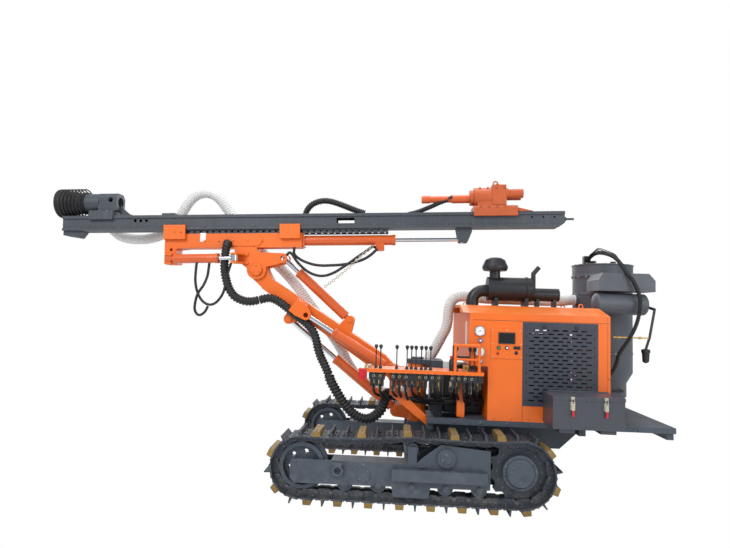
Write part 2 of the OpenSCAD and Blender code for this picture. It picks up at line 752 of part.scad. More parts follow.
// Valve banks: first x from the track's middle, length, sections
banks = [[-387, 148, 3], [-186, 436, 9], [356, 284, 6]];

module valve_banks() {
    y0 = deck_y0 + 30;
    y1 = deck_y1 - 80;
    top = deck_z - 10 - seat;
    color([0.08, 0.09, 0.11]) for (b = banks) {
        x0 = track_mid_x + b[0];
        step = b[1] / b[2];
        box(x0, x0 + b[1], y0 + 25, y1 - 20, top - 78, top);
        for (i = [0:b[2] - 1])
            box(x0 + i * step + 3, x0 + (i + 1) * step - 3, y0, y1, top - 88, top - 8);
        for (i = [0:b[2] - 1])
            zcyl(14, top - 150, top - 86, x0 + (i + 0.5) * step, y0 + 45);
    }
}

// Levers: x from the track's middle
lever_x = [-326, -284, -137, -44, -3, 37, 87, 127, 170, 402, 523, 566];

module levers() {
    y = deck_y0 + 74;
    knob_z = deck_z + 195;
    color([0.06, 0.06, 0.07]) for (x = lever_x) {
        translate([track_mid_x + x, y, deck_z]) cylinder(r1 = 17, r2 = 12, h = 26);
        zcyl(5, deck_z + 20, knob_z, track_mid_x + x, y);
        translate([track_mid_x + x, y, knob_z - 18]) cylinder(r1 = 9, r2 = 17, h = 24);
        translate([track_mid_x + x, y, knob_z + 6]) sphere(17);
    }
}

// Swing post: tube on the swing pin, cheeks for the boom and for the lift cylinder
module boom_post() {
    color([0.78, 0.3, 0.02]) translate([0, boom_y, 0]) {
        difference() {
            union() {
                zcyl(post_r, post_z0, post_z1, swing_x, 0);
                for (s = [-1, 1]) {
                    slab(s * (cheek_in + cheek_t / 2), cheek_t) union() {
                        taper2d([boom_foot_x, boom_foot_z], 88, [swing_x - 30, boom_foot_z - 10], 90);
                        taper2d([boom_foot_x, boom_foot_z], 88, side_foot, 48);
                    }
                    slab(s * (ear_in + ear_t / 2), ear_t)
                        taper2d(lift_foot, 58, [swing_x, lift_foot[1] + 5], 80);
                    box(swing_x - 60, swing_x + 40, s > 0 ? ear_in : -post_r, s > 0 ? post_r : -ear_in, lift_foot[1] - 60, boom_foot_z - 80);
                }
            }
            zcyl(swing_pin_r + fit, post_z0 - 1, post_z1 + 1, swing_x, 0);
        }
        ycyl(pin_r, -cheek_out - 12, cheek_out + 12, boom_foot_x, boom_foot_z);
        ycyl(eye_pin_r, -ear_out - 8, ear_out + 8, lift_foot[0], lift_foot[1]);
        // Pin of the side cylinder's foot
        ycyl(eye_pin_r, side_y - ear_w / 2 - 14, -cheek_in - 2, side_foot[0], side_foot[1]);
        ycyl(38, side_y + ear_w / 2 + 1, -cheek_out + eps, side_foot[0], side_foot[1]);
        ycyl(36, side_y - ear_w / 2 - 18, side_y - ear_w / 2 - 3, side_foot[0], side_foot[1]);
    }
}

module boom() {
    color([0.78, 0.3, 0.02]) in_boom() {
        difference() {
            union() {
                slab(0, boom_w) union() {
                    taper2d([-boom_len, 0], 96, [-boom_len + 180, -52], 66);
                    polygon([[-boom_len + 170, 14], [-217, 92], [-60, 62], [-60, -64], [-300, -92], [-boom_len + 150, -121]]);
                    circle(80);
                }
                for (s = [-1, 1]) {
                    // Ears: lift cylinder below, tilt cylinder above
                    slab(s * (ear_in + ear_t / 2), ear_t) {
                        difference() {
                            taper2d(lift_ear, 50, lift_ear + [40, 130], 90);
                            translate(lift_ear) circle(eye_pin_r);
                        }
                        difference() {
                            taper2d(tilt_ear, 48, tilt_ear + [20, -130], 80);
                            translate(tilt_ear) circle(eye_pin_r);
                        }
                    }
                    // Bosses that close the lift ears' pin holes from outside
                    translate([lift_ear[0], 0, lift_ear[1]])
                        ycyl(36, s > 0 ? ear_out - 2 : -ear_out - 12, s > 0 ? ear_out + 12 : -ear_out + 2, 0, 0);
                }
                translate([tilt_ear[0], 0, tilt_ear[1]]) ycyl(eye_pin_r, -ear_out - 10, ear_out + 10, 0, 0);
                side_clevis();
            }
            ycyl(pin_r + fit, -boom_w, boom_w, 0, 0);
            ycyl(pin_r + fit, -boom_w, boom_w, -boom_len, 0);
        }
    }
}

// Fork on the boom's near side for the side cylinder's rod
module side_clevis() {
    for (s = [-1, 1])
        slab(side_y + s * (ear_in + ear_t / 2), ear_t) difference() {
            taper2d(side_ear, 50, side_ear + [-90, 10], 78);
            translate(side_ear) circle(eye_pin_r);
        }
    box(side_ear[0] - 168, side_ear[0] - 92, side_y - ear_out, -boom_side + 1, side_ear[1] - 66, side_ear[1] + 84);
}

lift_tail = 640;
lift_barrel_len = 800;
side_barrel_len = 659;
tilt_barrel_len = 725;
lift_eye = boom_point(lift_ear);
side_eye = boom_point(side_ear);
tilt_foot = boom_point(tilt_ear);
tilt_eye = mast_point(tail_pin);

module lift_barrel() {
    color([0.72, 0.28, 0.12]) between(lift_foot, lift_eye, boom_y)
        barrel(lift_barrel_len, barrel_r, rod_r, 46, ear_w, eye_pin_r);
}

module lift_rod() {
    color([0.75, 0.76, 0.78]) between(lift_foot, lift_eye, boom_y)
        rod(lift_tail, norm(lift_eye - lift_foot), rod_r, 44, ear_w - 2, eye_pin_r);
}

module side_barrel() {
    color([0.72, 0.28, 0.12]) between(side_foot, side_eye, boom_y + side_y)
        barrel(side_barrel_len, barrel_r, rod_r, 46, ear_w, eye_pin_r);
}

module side_rod() {
    color([0.75, 0.76, 0.78]) between(side_foot, side_eye, boom_y + side_y)
        rod(500, norm(side_eye - side_foot), rod_r, 42, ear_w - 2, eye_pin_r);
}

module tilt_barrel() {
    color([0.72, 0.28, 0.12]) between(tilt_foot, tilt_eye, boom_y)
        barrel(tilt_barrel_len, barrel_r, rod_r, 46, ear_w, eye_pin_r);
}

module tilt_rod() {
    color([0.75, 0.76, 0.78]) between(tilt_foot, tilt_eye, boom_y)
        rod(220, norm(tilt_eye - tilt_foot), rod_r, 40, ear_w - 2, eye_pin_r);
}

// Head between boom and carrier: cheeks on the boom's pin, a tail fork for the tilt rod and a
// top block with the upright swing pin
swing_eye = [-200, -200];
swing_foot = [-905, -130];
swing_z = 110;
swing_barrel_r = 47;
swing_rod_r = 22;
swing_barrel_len = 541;

module head_bracket() {
    color([0.8, 0.32, 0.03]) in_mast() {
        difference() {
            union() {
                for (s = [-1, 1])
                    slab(s * (cheek_in + cheek_t / 2), cheek_t) difference() {
                        union() {
                            circle(100);
                            taper2d(tail_pin, 48, [30, 95], 82);
                            polygon([[-228, beam_z0 - 14], [-222, 78], [-165, 67], [-80, 0], [60, 0], [60, 150],
                                [-4, beam_z0 - 14]]);
                        }
                        translate(tail_pin) circle(eye_pin_r);
                    }
                box(-230, 0, -cheek_out, cheek_out, beam_z0 - 60, beam_z0 - 0.5);
            }
        }
        ycyl(pin_r, -cheek_out - 12, cheek_out + 12, 0, 0);
        zcyl(pin_r, beam_z0 - 60, beam_z1 - 26, swing_pin_u, 0);
        // Flat lugs for the swing cylinder's rod
        for (z = [swing_z - ear_w / 2 - 22, swing_z + ear_w / 2 + 4])
            translate([0, 0, z]) linear_extrude(18) difference() {
                union() {
                    taper2d(swing_eye, 40, [swing_eye[0] + 40, -cheek_out - 28], 46);
                    translate([swing_eye[0] + 6, -cheek_out - 20]) square([110, 30]);
                }
                translate(swing_eye) circle(eye_pin_r);
            }
    }
}

module carrier() {
    clamp_in = mast_half_w + 4;
    clamp_t = 20;
    flange_top = mast_z0 + 24;
    lip = 10;
    color([0.8, 0.32, 0.03]) in_mast() {
        difference() {
            union() {
                box(beam_u0, beam_u1, -beam_half_w, beam_half_w, beam_z0, beam_z1);
                slab(0, 2 * beam_half_w) polygon([[-976, beam_z1], [beam_u0 + 12, beam_z1], [beam_u0 + 12, beam_z0],
                    [-853, beam_z0 - 10], [-853, 62], [-976, 62]]);
                // Clamps over the mast's lower flange
                for (u = [[-976, -748], [241, 450]], s = [-1, 1]) {
                    box(u[0], u[1], s > 0 ? beam_half_w - 1 : -clamp_in - clamp_t, s > 0 ? clamp_in + clamp_t : -beam_half_w + 1,
                        beam_z1 - 60, beam_z1);
                    box(u[0], u[1], s > 0 ? clamp_in : -clamp_in - clamp_t, s > 0 ? clamp_in + clamp_t : -clamp_in,
                        beam_z1 - 20, flange_top + 22);
                    box(u[0], u[1], s > 0 ? clamp_in - lip : -clamp_in - 1, s > 0 ? clamp_in + 1 : -clamp_in + lip,
                        flange_top + 3, flange_top + 22);
                }
                // Side plates over the swing pin
                for (s = [-1, 1])
                    slab(s * (beam_half_w + 4), 9) taper2d([swing_pin_u - 110, 304], 58, [swing_pin_u + 110, 304], 58);
            }
            zcyl(pin_r + fit, beam_z0 - 1, beam_z1 - 20, swing_pin_u, 0);
            for (z = [121, 212])
                ycyl(16, -200, 200, -905, z);
        }
        // Lugs for the swing cylinder's foot
        for (z = [swing_z - ear_w / 2 - 22, swing_z + ear_w / 2 + 4])
            translate([0, 0, z]) linear_extrude(18) difference() {
                taper2d(swing_foot, 42, [swing_foot[0], -beam_half_w + 30], 60);
                translate(swing_foot) circle(eye_pin_r);
            }
        zcyl(eye_pin_r, swing_z - ear_w / 2 - 26, swing_z + ear_w / 2 + 30, swing_foot[0], swing_foot[1]);
    }
}

// The swing cylinder lies flat, its pins upright
module in_swing() {
    d = swing_eye - swing_foot;
    in_mast() translate([swing_foot[0], swing_foot[1], swing_z]) rotate([0, 0, atan2(d[1], d[0])])
        rotate([90, 0, 0]) children();
}

module swing_barrel() {
    color([0.72, 0.28, 0.12]) in_swing()
        barrel(swing_barrel_len, swing_barrel_r, swing_rod_r, 42, ear_w, eye_pin_r);
}

module swing_rod() {
    color([0.75, 0.76, 0.78]) in_swing()
        rod(300, norm(swing_eye - swing_foot), swing_rod_r, 38, ear_w - 4, eye_pin_r);
}

slide_z = 307;
slide_barrel_r = 52;
slide_rod_r = 20;
slide_eye_u = 2100;
slide_barrel_end = 1423;

module slide_barrel() {
    color([0.7, 0.27, 0.1]) in_mast() difference() {
        union() {
            xcyl(slide_barrel_r, beam_u1, slide_barrel_end - 30, 0, slide_z);
            xcyl(slide_barrel_r + 4, slide_barrel_end - 34, slide_barrel_end, 0, slide_z);
            box(beam_u1, beam_u1 + 26, -68, 68, slide_z - 66, slide_z + 62);
            slab(0, 84) polygon([[1216, slide_z], [1216, 208], [1236, 196], [1290, 196], [1310, 208], [1310, slide_z]]);
        }
        xcyl(slide_barrel_r - 9, beam_u1 + 44, slide_barrel_end - 30, 0, slide_z);
        xcyl(slide_rod_r + fit, slide_barrel_end - 31, slide_barrel_end + 1, 0, slide_z);
    }
}

module slide_rod() {
    color([0.75, 0.76, 0.78]) in_mast() difference() {
        union() {
            xcyl(slide_rod_r, 1130, slide_eye_u, 0, slide_z);
            ycyl(36, -28, 28, slide_eye_u, slide_z);
        }
        ycyl(18 + fit, -60, 60, slide_eye_u, slide_z);
    }
}

// Mast: a box with flanges top and bottom, a drilled slide rail beneath, and its end pieces
module mast() {
    u0 = -mast_front;
    u1 = mast_len - mast_front;
    web = mast_half_w - 14;
    rail_half = 70;
    rail_z0 = beam_z1 + 0.5;
    hole_step = 66;
    rail_u0 = -970;
    rail_u1 = 1348;
    wall = 9;
    color([0.29, 0.3, 0.33]) in_mast() {
        difference() {
            union() {
                run(u0, u1) difference() {
                    polygon([[-mast_half_w, mast_z0], [mast_half_w, mast_z0], [mast_half_w, mast_z0 + 24],
                        [web, mast_z0 + 24], [web, mast_top - 30], [mast_half_w, mast_top - 30],
                        [mast_half_w, mast_top], [-mast_half_w, mast_top], [-mast_half_w, mast_top - 30],
                        [-web, mast_top - 30], [-web, mast_z0 + 24], [-mast_half_w, mast_z0 + 24]]);
                    polygon([[-web + wall, mast_z0 + wall], [web - wall, mast_z0 + wall],
                        [web - wall, mast_top - wall], [-web + wall, mast_top - wall]]);
                }
                box(u0, u0 + 12, -web, web, mast_z0, mast_top);
                box(u1 - 12, u1, -web, web, mast_z0, mast_top);
            }
            // Light slot and inspection holes through both webs
            slab(0, 3 * mast_half_w) translate([822, mast_z0 + 53]) square([182, 56]);
            for (u = [-1300, -1240, -1180])
                ycyl(16, -2 * mast_half_w, 2 * mast_half_w, u, mast_z0 + 98);
            for (u = [2790, 2900, 3010])
                ycyl(10, -2 * mast_half_w, 2 * mast_half_w, u, mast_z0 + 98);
            // Rear end cut back below
            slab(0, 3 * mast_half_w) polygon([[u1 - 56, mast_z0 - 1], [u1 + 1, mast_z0 - 1], [u1 + 1, mast_z0 + 38]]);
        }
        difference() {
            for (s = [-1, 1])
                slab(s * (rail_half - 8), 16) polygon([[rail_u0, rail_z0], [rail_u1, rail_z0], [rail_u1, mast_z0 + 1], [rail_u0, mast_z0 + 1]]);
            for (u = [rail_u0 + 40:hole_step:rail_u1 - 30])
                ycyl(12, -rail_half - 1, rail_half + 1, u, (rail_z0 + mast_z0) / 2);
        }
        // Toe, stop wedge and chain tensioner
        slab(0, 140) polygon([[u0, mast_z0 + 1], [u0, mast_z0 - 46], [u0 + 149, mast_z0 - 69], [u0 + 195, mast_z0 - 10], [u0 + 195, mast_z0 + 1]]);
        box(-1026, -885, -60, 60, mast_top - 1, mast_top + 27);
        xcyl(11, u1 - 1, u1 + 112, 0, mast_z0 + 88);
        xcyl(22, u1 - 1, u1 + 34, 0, mast_z0 + 88);
        // Bracket of the slide cylinder's rod
        for (s = [-1, 1])
            slab(s * 42, 22) polygon([[2037, mast_z0 + 1], [2060, slide_z - 20], [2075, slide_z - 34],
                [2150, slide_z - 34], [2197, mast_z0 - 40], [2197, mast_z0 + 1]]);
        ycyl(18, -58, 58, slide_eye_u, slide_z);
    }
}

// Rod guide with its slide base and the suction tube behind the rubber boot
module centralizer() {
    base_in = mast_half_w + 1;
    tube_r = 101;
    color([0.33, 0.34, 0.36]) in_mast() {
        difference() {
            union() {
                run(-1787, -1530) polygon([[-base_in - 22, mast_top - 42], [-base_in, mast_top - 42],
                    [-base_in, mast_top + seat], [base_in, mast_top + seat], [base_in, mast_top - 42],
                    [base_in + 22, mast_top - 42], [base_in + 22, mast_top + 40], [70, mast_top + 66],
                    [-70, mast_top + 66], [-base_in - 22, mast_top + 40]]);
                run(-1707, -1505) polygon([[-84, mast_top + 60], [84, mast_top + 60], [92, drill_z + 50],
                    [52, drill_z + 94], [-52, drill_z + 94], [-92, drill_z + 50]]);
                xcyl(tube_r, -1902, -1700, 0, drill_z);
                slab(0, 20) polygon([[-1506, mast_top + 10], [-1380, mast_top + 10], [-1506, mast_top + 120]]);
                box(-1780, -1380, -40, 40, mast_top + seat, mast_top + 24);
            }
            xcyl(58, -1903, -1500, 0, drill_z);
            xcyl(tube_r - 8, -1903, -1740, 0, drill_z);
            ycyl(26, -120, -40, -1573, drill_z + 20);
        }
    }
}

module dust_boot() {
    color([0.05, 0.05, 0.06]) in_mast() translate([-1896, 0, drill_z]) rotate([0, -90, 0]) rotate_extrude($fn = 64)
        polygon([[101 + seat, -34], [118, -34], [118, 0], [110, 20], [152, 262], [140, 262], [101 + seat, 14]]);
}

module power_head() {
    sled_in = mast_half_w + 3;
    sled_out = sled_in + 24;
    sled_u0 = 2210;
    sled_u1 = 2645;
    color([0.66, 0.28, 0.13]) in_mast() {
        difference() {
            union() {
                // Sled round the mast's top flange
                run(sled_u0, sled_u1) polygon([[-sled_out, mast_top - 44], [-sled_in + 8, mast_top - 44],
                    [-sled_in + 8, mast_top - 34], [-sled_in, mast_top - 34], [-sled_in, mast_top + glide],
                    [sled_in, mast_top + glide], [sled_in, mast_top - 34], [sled_in - 8, mast_top - 34],
                    [sled_in - 8, mast_top - 44], [sled_out, mast_top - 44], [sled_out, mast_top + 40],
                    [sled_out - 20, mast_top + 62], [-sled_out + 20, mast_top + 62], [-sled_out, mast_top + 40]]);
                run(2250, 2538) polygon([[-104, mast_top + 60], [104, mast_top + 60], [78, drill_z], [-78, drill_z]]);
                // Gearbox: round housing, flange and square rear box
                xcyl(78, 2184, 2230, 0, drill_z + 10);
                xcyl(103, 2226, 2400, 0, drill_z + 10);
                box(2398, 2538, -106, 106, drill_z - 80, drill_z + 124);
                for (s = [-1, 1]) {
                    xcyl(46, 2537, 2709, s * 56, drill_z + 40);
                    xcyl(54, 2537, 2562, s * 56, drill_z + 40);
                }
                // Wedge that wipes the rail behind the sled
                slab(0, 2 * sled_in) polygon([[sled_u1 - 1, mast_top + 3], [sled_u1 + 156, mast_top + 3], [sled_u1, mast_top + 42]]);
                translate([2468, 0, drill_z + 140]) rotate([90, 0, 0]) rotate_extrude() translate([16, 0]) circle(5);
                zcyl(10, drill_z + 120, drill_z + 128, 2468, 0);
            }
            xcyl(spindle_r + 8 + fit, 2183, 2300, 0, drill_z);
        }
    }
}

module spindle() {
    color([0.45, 0.46, 0.48]) in_mast() difference() {
        union() {
            xcyl(spindle_r, 1693, 2186, 0, drill_z);
            xcyl(spindle_r + 8, 2000, 2298, 0, drill_z);
            xcyl(spindle_r + 6, 1693, 1780, 0, drill_z);
        }
        xcyl(22, 1692, 1760, 0, drill_z);
    }
}

chassis_frame();
track_frame(-1);  // track_frame_left
track_frame(1);  // track_frame_right
track(-1);  // track_left
track(1);  // track_right
idlers();
sprockets();
engine_block();
hood_front();
hood_left();
hood_right();
hood_rear();
hood_roof();
grille(-1);  // grille_left
grille(1);  // grille_right
control_panel();
air_filter();
muffler();
dust_collector();
collector_fan();
air_tank();
toolbox();
toolbox_lid();
valve_deck();
valve_banks();
levers();
boom_post();
boom();
lift_barrel();
lift_rod();
side_barrel();
side_rod();
head_bracket();
tilt_barrel();
tilt_rod();
carrier();
swing_barrel();
swing_rod();
slide_barrel();
slide_rod();
mast();
centralizer();
dust_boot();
power_head();
spindle();
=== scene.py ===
import bpy, bmesh, json, math
from mathutils import Matrix, Vector


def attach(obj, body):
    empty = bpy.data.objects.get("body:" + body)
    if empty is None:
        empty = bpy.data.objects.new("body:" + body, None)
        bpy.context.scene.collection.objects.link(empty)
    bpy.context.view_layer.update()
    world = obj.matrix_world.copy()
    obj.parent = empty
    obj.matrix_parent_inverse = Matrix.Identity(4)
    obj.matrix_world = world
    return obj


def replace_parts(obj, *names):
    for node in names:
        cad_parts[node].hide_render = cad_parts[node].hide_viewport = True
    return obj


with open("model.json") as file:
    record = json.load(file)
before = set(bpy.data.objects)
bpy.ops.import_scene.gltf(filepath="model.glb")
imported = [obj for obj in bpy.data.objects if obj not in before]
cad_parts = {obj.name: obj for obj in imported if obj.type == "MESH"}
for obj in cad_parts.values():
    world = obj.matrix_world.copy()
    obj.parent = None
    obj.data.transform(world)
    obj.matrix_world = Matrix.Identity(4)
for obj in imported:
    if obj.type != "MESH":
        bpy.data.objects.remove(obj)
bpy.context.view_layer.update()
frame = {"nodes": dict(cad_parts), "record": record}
record = frame["record"]
nodes = frame["nodes"]

# Places shared by many pieces, in metres: the side place of the boom and mast, the boom's foot pivot,
# the boom's angle and length, and the mast's slope
sideY = -0.230
footPivot = (0.570, sideY, 1.051)
boomAngle = 35.0
boomLength = 1.791
mastSlope = 1.7
headPivot = (footPivot[0] - boomLength * math.cos(math.radians(boomAngle)), sideY,
             footPivot[2] + boomLength * math.sin(math.radians(boomAngle)))
mastFrame = Matrix.Translation(headPivot) @ Matrix.Rotation(math.radians(-mastSlope), 4, "Y")


# Camera at the photograph's place
camera = {"place": (0.574, -5.844, 1.677), "yaw": -3.69, "pitch": 3.99, "roll": 1.77, "lens": 27.03}


def addCamera(c):
    yaw, pitch, roll = (math.radians(c[k]) for k in ("yaw", "pitch", "roll"))
    forward = Vector((math.sin(yaw), math.cos(yaw), 0))
    right = Vector((math.cos(yaw), -math.sin(yaw), 0))
    up = Vector((0, 0, 1))
    look = forward * math.cos(pitch) + up * math.sin(pitch)
    top = -forward * math.sin(pitch) + up * math.cos(pitch)
    right, top = right * math.cos(roll) + top * math.sin(roll), -right * math.sin(roll) + top * math.cos(roll)
    data = bpy.data.cameras.new("camera")
    data.lens, data.sensor_width = c["lens"], 36
    data.clip_end = 200
    obj = bpy.data.objects.new("camera", data)
    obj.matrix_world = Matrix.Translation(c["place"]) @ Matrix((right, top, -look)).transposed().to_4x4()
    bpy.context.scene.collection.objects.link(obj)
    bpy.context.scene.camera = obj


addCamera(camera)


# Node trees, with colours given as the eye sees them
def linear(rgb):
    return [((v / 255 + 0.055) / 1.055) ** 2.4 if v > 10 else v / 255 / 12.92 for v in rgb] + [1]


class Tree:
    def __init__(self, owner):
        owner.use_nodes = True
        self.t = owner.node_tree
        self.t.nodes.clear()

    def add(self, kind, inputs=(), **settings):
        n = self.t.nodes.new(kind)
        for k, v in settings.items():
            setattr(n, k, v)
        for k, v in dict(inputs).items():
            self.put(n, k, v)
        return n

    def put(self, n, key, value):
        if isinstance(value, bpy.types.NodeSocket):
            self.t.links.new(value, n.inputs[key])
        elif isinstance(value, bpy.types.Node):
            self.t.links.new(value.outputs[0], n.inputs[key])
        else:
            n.inputs[key].default_value = value

    def noise(self, where, scale, detail=4, rough=0.55, stretch=None):
        if stretch:
            where = self.add("ShaderNodeMapping", {"Vector": where, "Scale": stretch})
        return self.add("ShaderNodeTexNoise", {"Vector": where, "Scale": scale, "Detail": detail,
                "Roughness": rough}).outputs[0]

    def ramp(self, value, low, high):
        n = self.add("ShaderNodeMapRange", {"Value": value, "From Min": low, "From Max": high})
        return n.outputs[0]

    def mix(self, share, a, b, blend="MIX"):
        n = self.add("ShaderNodeMix", data_type="RGBA", blend_type=blend)
        for i, v in ((0, share), (6, a), (7, b)):
            self.put(n, i, v)
        return n.outputs[2]

    def math(self, op, a, b=0.0):
        n = self.add("ShaderNodeMath", operation=op)
        self.put(n, 0, a)
        self.put(n, 1, b)
        return n.outputs[0]


materials = {}


# One procedural surface: mottling, dust on upward faces (on the orange paints a lighter orange there, which is
# painted top light), worn edges (on the orange paints a lighter orange rim, which is a painted edge highlight),
# roughness and grain
def finish(name, rgb, rough=0.4, metal=0.0, vary=0.12, dust=0.25, dustAndTopLightRgb=(150, 140, 128), wearAndEdgeLight=0.0,
           wearAndEdgeLightRgb=(150, 150, 150), bump=0.15, grain=160, edge=0.004, coat=0.0, streak=0.0, low=0.0):
    m = bpy.data.materials.new(name)
    t = Tree(m)
    where = t.add("ShaderNodeTexCoord").outputs["Object"]
    geometry = t.add("ShaderNodeNewGeometry")
    base = linear(rgb)
    broad = t.ramp(t.noise(where, 2.3, 5), 0.35, 0.68)
    fine = t.ramp(t.noise(where, 55, 3), 0.4, 0.64)
    dark = [v * (1 - vary) for v in base[:3]] + [1]
    light = [min(1, v * (1 + vary)) for v in base[:3]] + [1]
    colour = t.mix(broad, dark, light)
    colour = t.mix(t.math("MULTIPLY", fine, vary * 0.8), colour, [v * 0.75 for v in base[:3]] + [1])
    if streak:
        run = t.ramp(t.noise(where, 26, 4, stretch=(1, 1, 0.06)), 0.52, 0.75)
        colour = t.mix(t.math("MULTIPLY", run, streak), colour, linear(dustAndTopLightRgb))
    # Dust on upward faces; where its colour is a lighter tint of the paint, as on the orange paints, it is painted
    # top light rather than dust
    if dust:
        up = t.add("ShaderNodeSeparateXYZ", {"Vector": geometry.outputs["Normal"]}).outputs["Z"]
        lying = t.math("MULTIPLY", t.ramp(up, 0.35, 1.0), t.ramp(t.noise(where, 9, 6), 0.3, 0.7))
        colour = t.mix(t.math("MULTIPLY", lying, dust), colour, linear(dustAndTopLightRgb))
    if low:
        height = t.add("ShaderNodeSeparateXYZ", {"Vector": where}).outputs["Z"]
        mud = t.math("MULTIPLY", t.ramp(height, 0.5, 0.02), t.ramp(t.noise(where, 14, 6), 0.4, 0.66))
        colour = t.mix(t.math("MULTIPLY", mud, low), colour, linear(dustAndTopLightRgb))
    round_ = t.add("ShaderNodeBevel", {"Radius": edge}, samples=4) if edge else None
    # Worn edges found from the bevel normal; where the edge colour is a lighter tint of the paint, as on the
    # orange paints, it is a painted edge highlight rather than wear
    if wearAndEdgeLight and round_:
        turn = t.add("ShaderNodeVectorMath", {0: round_.outputs[0], 1: geometry.outputs["Normal"]},
                operation="DOT_PRODUCT")
        rim = t.ramp(turn.outputs["Value"], 0.985, 0.93)
        rim = t.math("MULTIPLY", rim, t.ramp(t.noise(where, 38, 5), 0.42, 0.6))
        colour = t.mix(t.math("MULTIPLY", rim, wearAndEdgeLight), colour, linear(wearAndEdgeLightRgb))
    gloss = t.ramp(t.noise(where, 7, 5), 0.2, 0.8)
    gloss = t.add("ShaderNodeMapRange", {"Value": gloss, "To Min": max(0.03, rough - 0.07), "To Max": min(1,
            rough + 0.1)}).outputs[0]
    grainHeight = t.noise(where, grain, 3)
    bumpNode = t.add("ShaderNodeBump", {"Strength": bump, "Distance": 0.002, "Height": grainHeight})
    if round_:
        t.put(bumpNode, "Normal", round_.outputs[0])
    shader = t.add("ShaderNodeBsdfPrincipled", {"Base Color": colour, "Roughness": gloss, "Metallic": metal,
                                                 "Normal": bumpNode.outputs[0], "Coat Weight": coat})
    t.add("ShaderNodeOutputMaterial", {"Surface": shader.outputs[0]})
    materials[name] = m
    return m


# Orange paint: the light orange colour on upward faces is painted top light, and the light orange edge colour is a
# painted edge highlight
finish("orange_paint", (222, 99, 0), 0.44, vary=0.05, dust=0.12, dustAndTopLightRgb=(240, 175, 100), wearAndEdgeLight=0.35,
        wearAndEdgeLightRgb=(250, 170, 90), bump=0.05, coat=0.12)
# Roof paint: the pale orange colour on upward faces is painted top light, and the pale edge colour is a painted
# edge highlight
finish("roof_paint", (226, 104, 4), 0.46, vary=0.05, dust=0.22, dustAndTopLightRgb=(250, 185, 120), wearAndEdgeLight=0.3, wearAndEdgeLightRgb=(255,
        190, 140), bump=0.05, coat=0.15)
finish("head_paint", (178, 80, 32), 0.52, vary=0.14, dust=0.25, wearAndEdgeLight=0.5, wearAndEdgeLightRgb=(120, 70, 50), bump=0.35,
        grain=90)
# Cylinder paint: the pale orange colour on upward faces is painted top light, and the pale orange edge colour is a
# painted edge highlight
finish("cylinder_paint", (200, 84, 22), 0.33, vary=0.06, dust=0.15, dustAndTopLightRgb=(230, 160, 130), wearAndEdgeLight=0.3,
        wearAndEdgeLightRgb=(240, 150, 110), bump=0.06, coat=0.3)
finish("frame_paint", (60, 69, 80), 0.5, vary=0.14, dust=0.2, dustAndTopLightRgb=(135, 138, 140), wearAndEdgeLight=0.5, wearAndEdgeLightRgb=(140,
        146, 152), bump=0.2, grain=120, low=0.25)
finish("track_steel", (50, 56, 66), 0.52, metal=0.2, vary=0.22, dust=0.18, dustAndTopLightRgb=(130, 126, 118), wearAndEdgeLight=0.85,
        wearAndEdgeLightRgb=(158, 160, 162), bump=0.45, grain=80, low=0.35)
finish("grille_paint", (46, 50, 62), 0.48, vary=0.08, dust=0.1, wearAndEdgeLight=0.3, bump=0.08)
finish("mast_paint", (58, 63, 71), 0.5, vary=0.12, dust=0.16, dustAndTopLightRgb=(140, 142, 148), wearAndEdgeLight=0.55, wearAndEdgeLightRgb=(146,
        148, 152), bump=0.15, streak=0.08)
finish("box_paint", (58, 61, 70), 0.42, vary=0.06, dust=0.18, dustAndTopLightRgb=(140, 138, 144), wearAndEdgeLight=0.35, wearAndEdgeLightRgb=(130,
        130, 140), bump=0.05, coat=0.1)
finish("collector_paint", (76, 80, 88), 0.46, vary=0.1, dust=0.16, dustAndTopLightRgb=(140, 146, 154), wearAndEdgeLight=0.4, bump=0.08,
        streak=0.08)
finish("black_parts", (24, 26, 32), 0.42, vary=0.2, dust=0.2, dustAndTopLightRgb=(90, 88, 84), wearAndEdgeLight=0.2, wearAndEdgeLightRgb=(90, 92,
        98), bump=0.1)
finish("engine_iron", (70, 72, 74), 0.6, metal=0.3, bump=0.5, grain=60)
finish("chrome_rod", (205, 208, 212), 0.12, metal=1.0, vary=0.04, dust=0.0, bump=0.02, edge=0.002)
finish("rubber", (20, 20, 23), 0.68, vary=0.25, dust=0.25, dustAndTopLightRgb=(96, 92, 86), bump=0.35, grain=220)
finish("spindle_steel", (198, 84, 34), 0.42, vary=0.14, dust=0.1, wearAndEdgeLight=0.6, wearAndEdgeLightRgb=(150, 140, 130), bump=0.2)
finish("hose_black", (17, 18, 22), 0.55, vary=0.2, dust=0.15, dustAndTopLightRgb=(80, 80, 82), bump=0.2, grain=300, edge=0)
finish("hose_white", (205, 205, 203), 0.72, vary=0.08, dust=0.2, dustAndTopLightRgb=(170, 168, 160), bump=0.6, grain=260,
        edge=0)
finish("zinc", (190, 184, 164), 0.36, metal=0.45, vary=0.15, dust=0.05, bump=0.1, edge=0.0015)
finish("brass_fitting", (196, 164, 92), 0.32, metal=0.45, vary=0.15, dust=0.05, bump=0.1, edge=0.0015)
finish("pad_rubber", (132, 106, 52), 0.62, vary=0.3, dust=0.35, dustAndTopLightRgb=(160, 140, 100), bump=0.6, grain=70,
        wearAndEdgeLight=0.6, wearAndEdgeLightRgb=(190, 168, 118))
finish("red_paint", (196, 20, 30), 0.35, vary=0.1, dust=0.1, bump=0.05)
finish("blank_label", (222, 222, 220), 0.4, vary=0.03, dust=0.05, bump=0.02, edge=0.001)
finish("gauge_face", (226, 230, 232), 0.3, vary=0.02, dust=0.0, bump=0.0, edge=0)
finish("screen", (14, 18, 22), 0.12, vary=0.05, dust=0.0, bump=0.0, edge=0.001)
finish("green_plastic", (20, 130, 60), 0.3, vary=0.05, dust=0.0, bump=0.0)
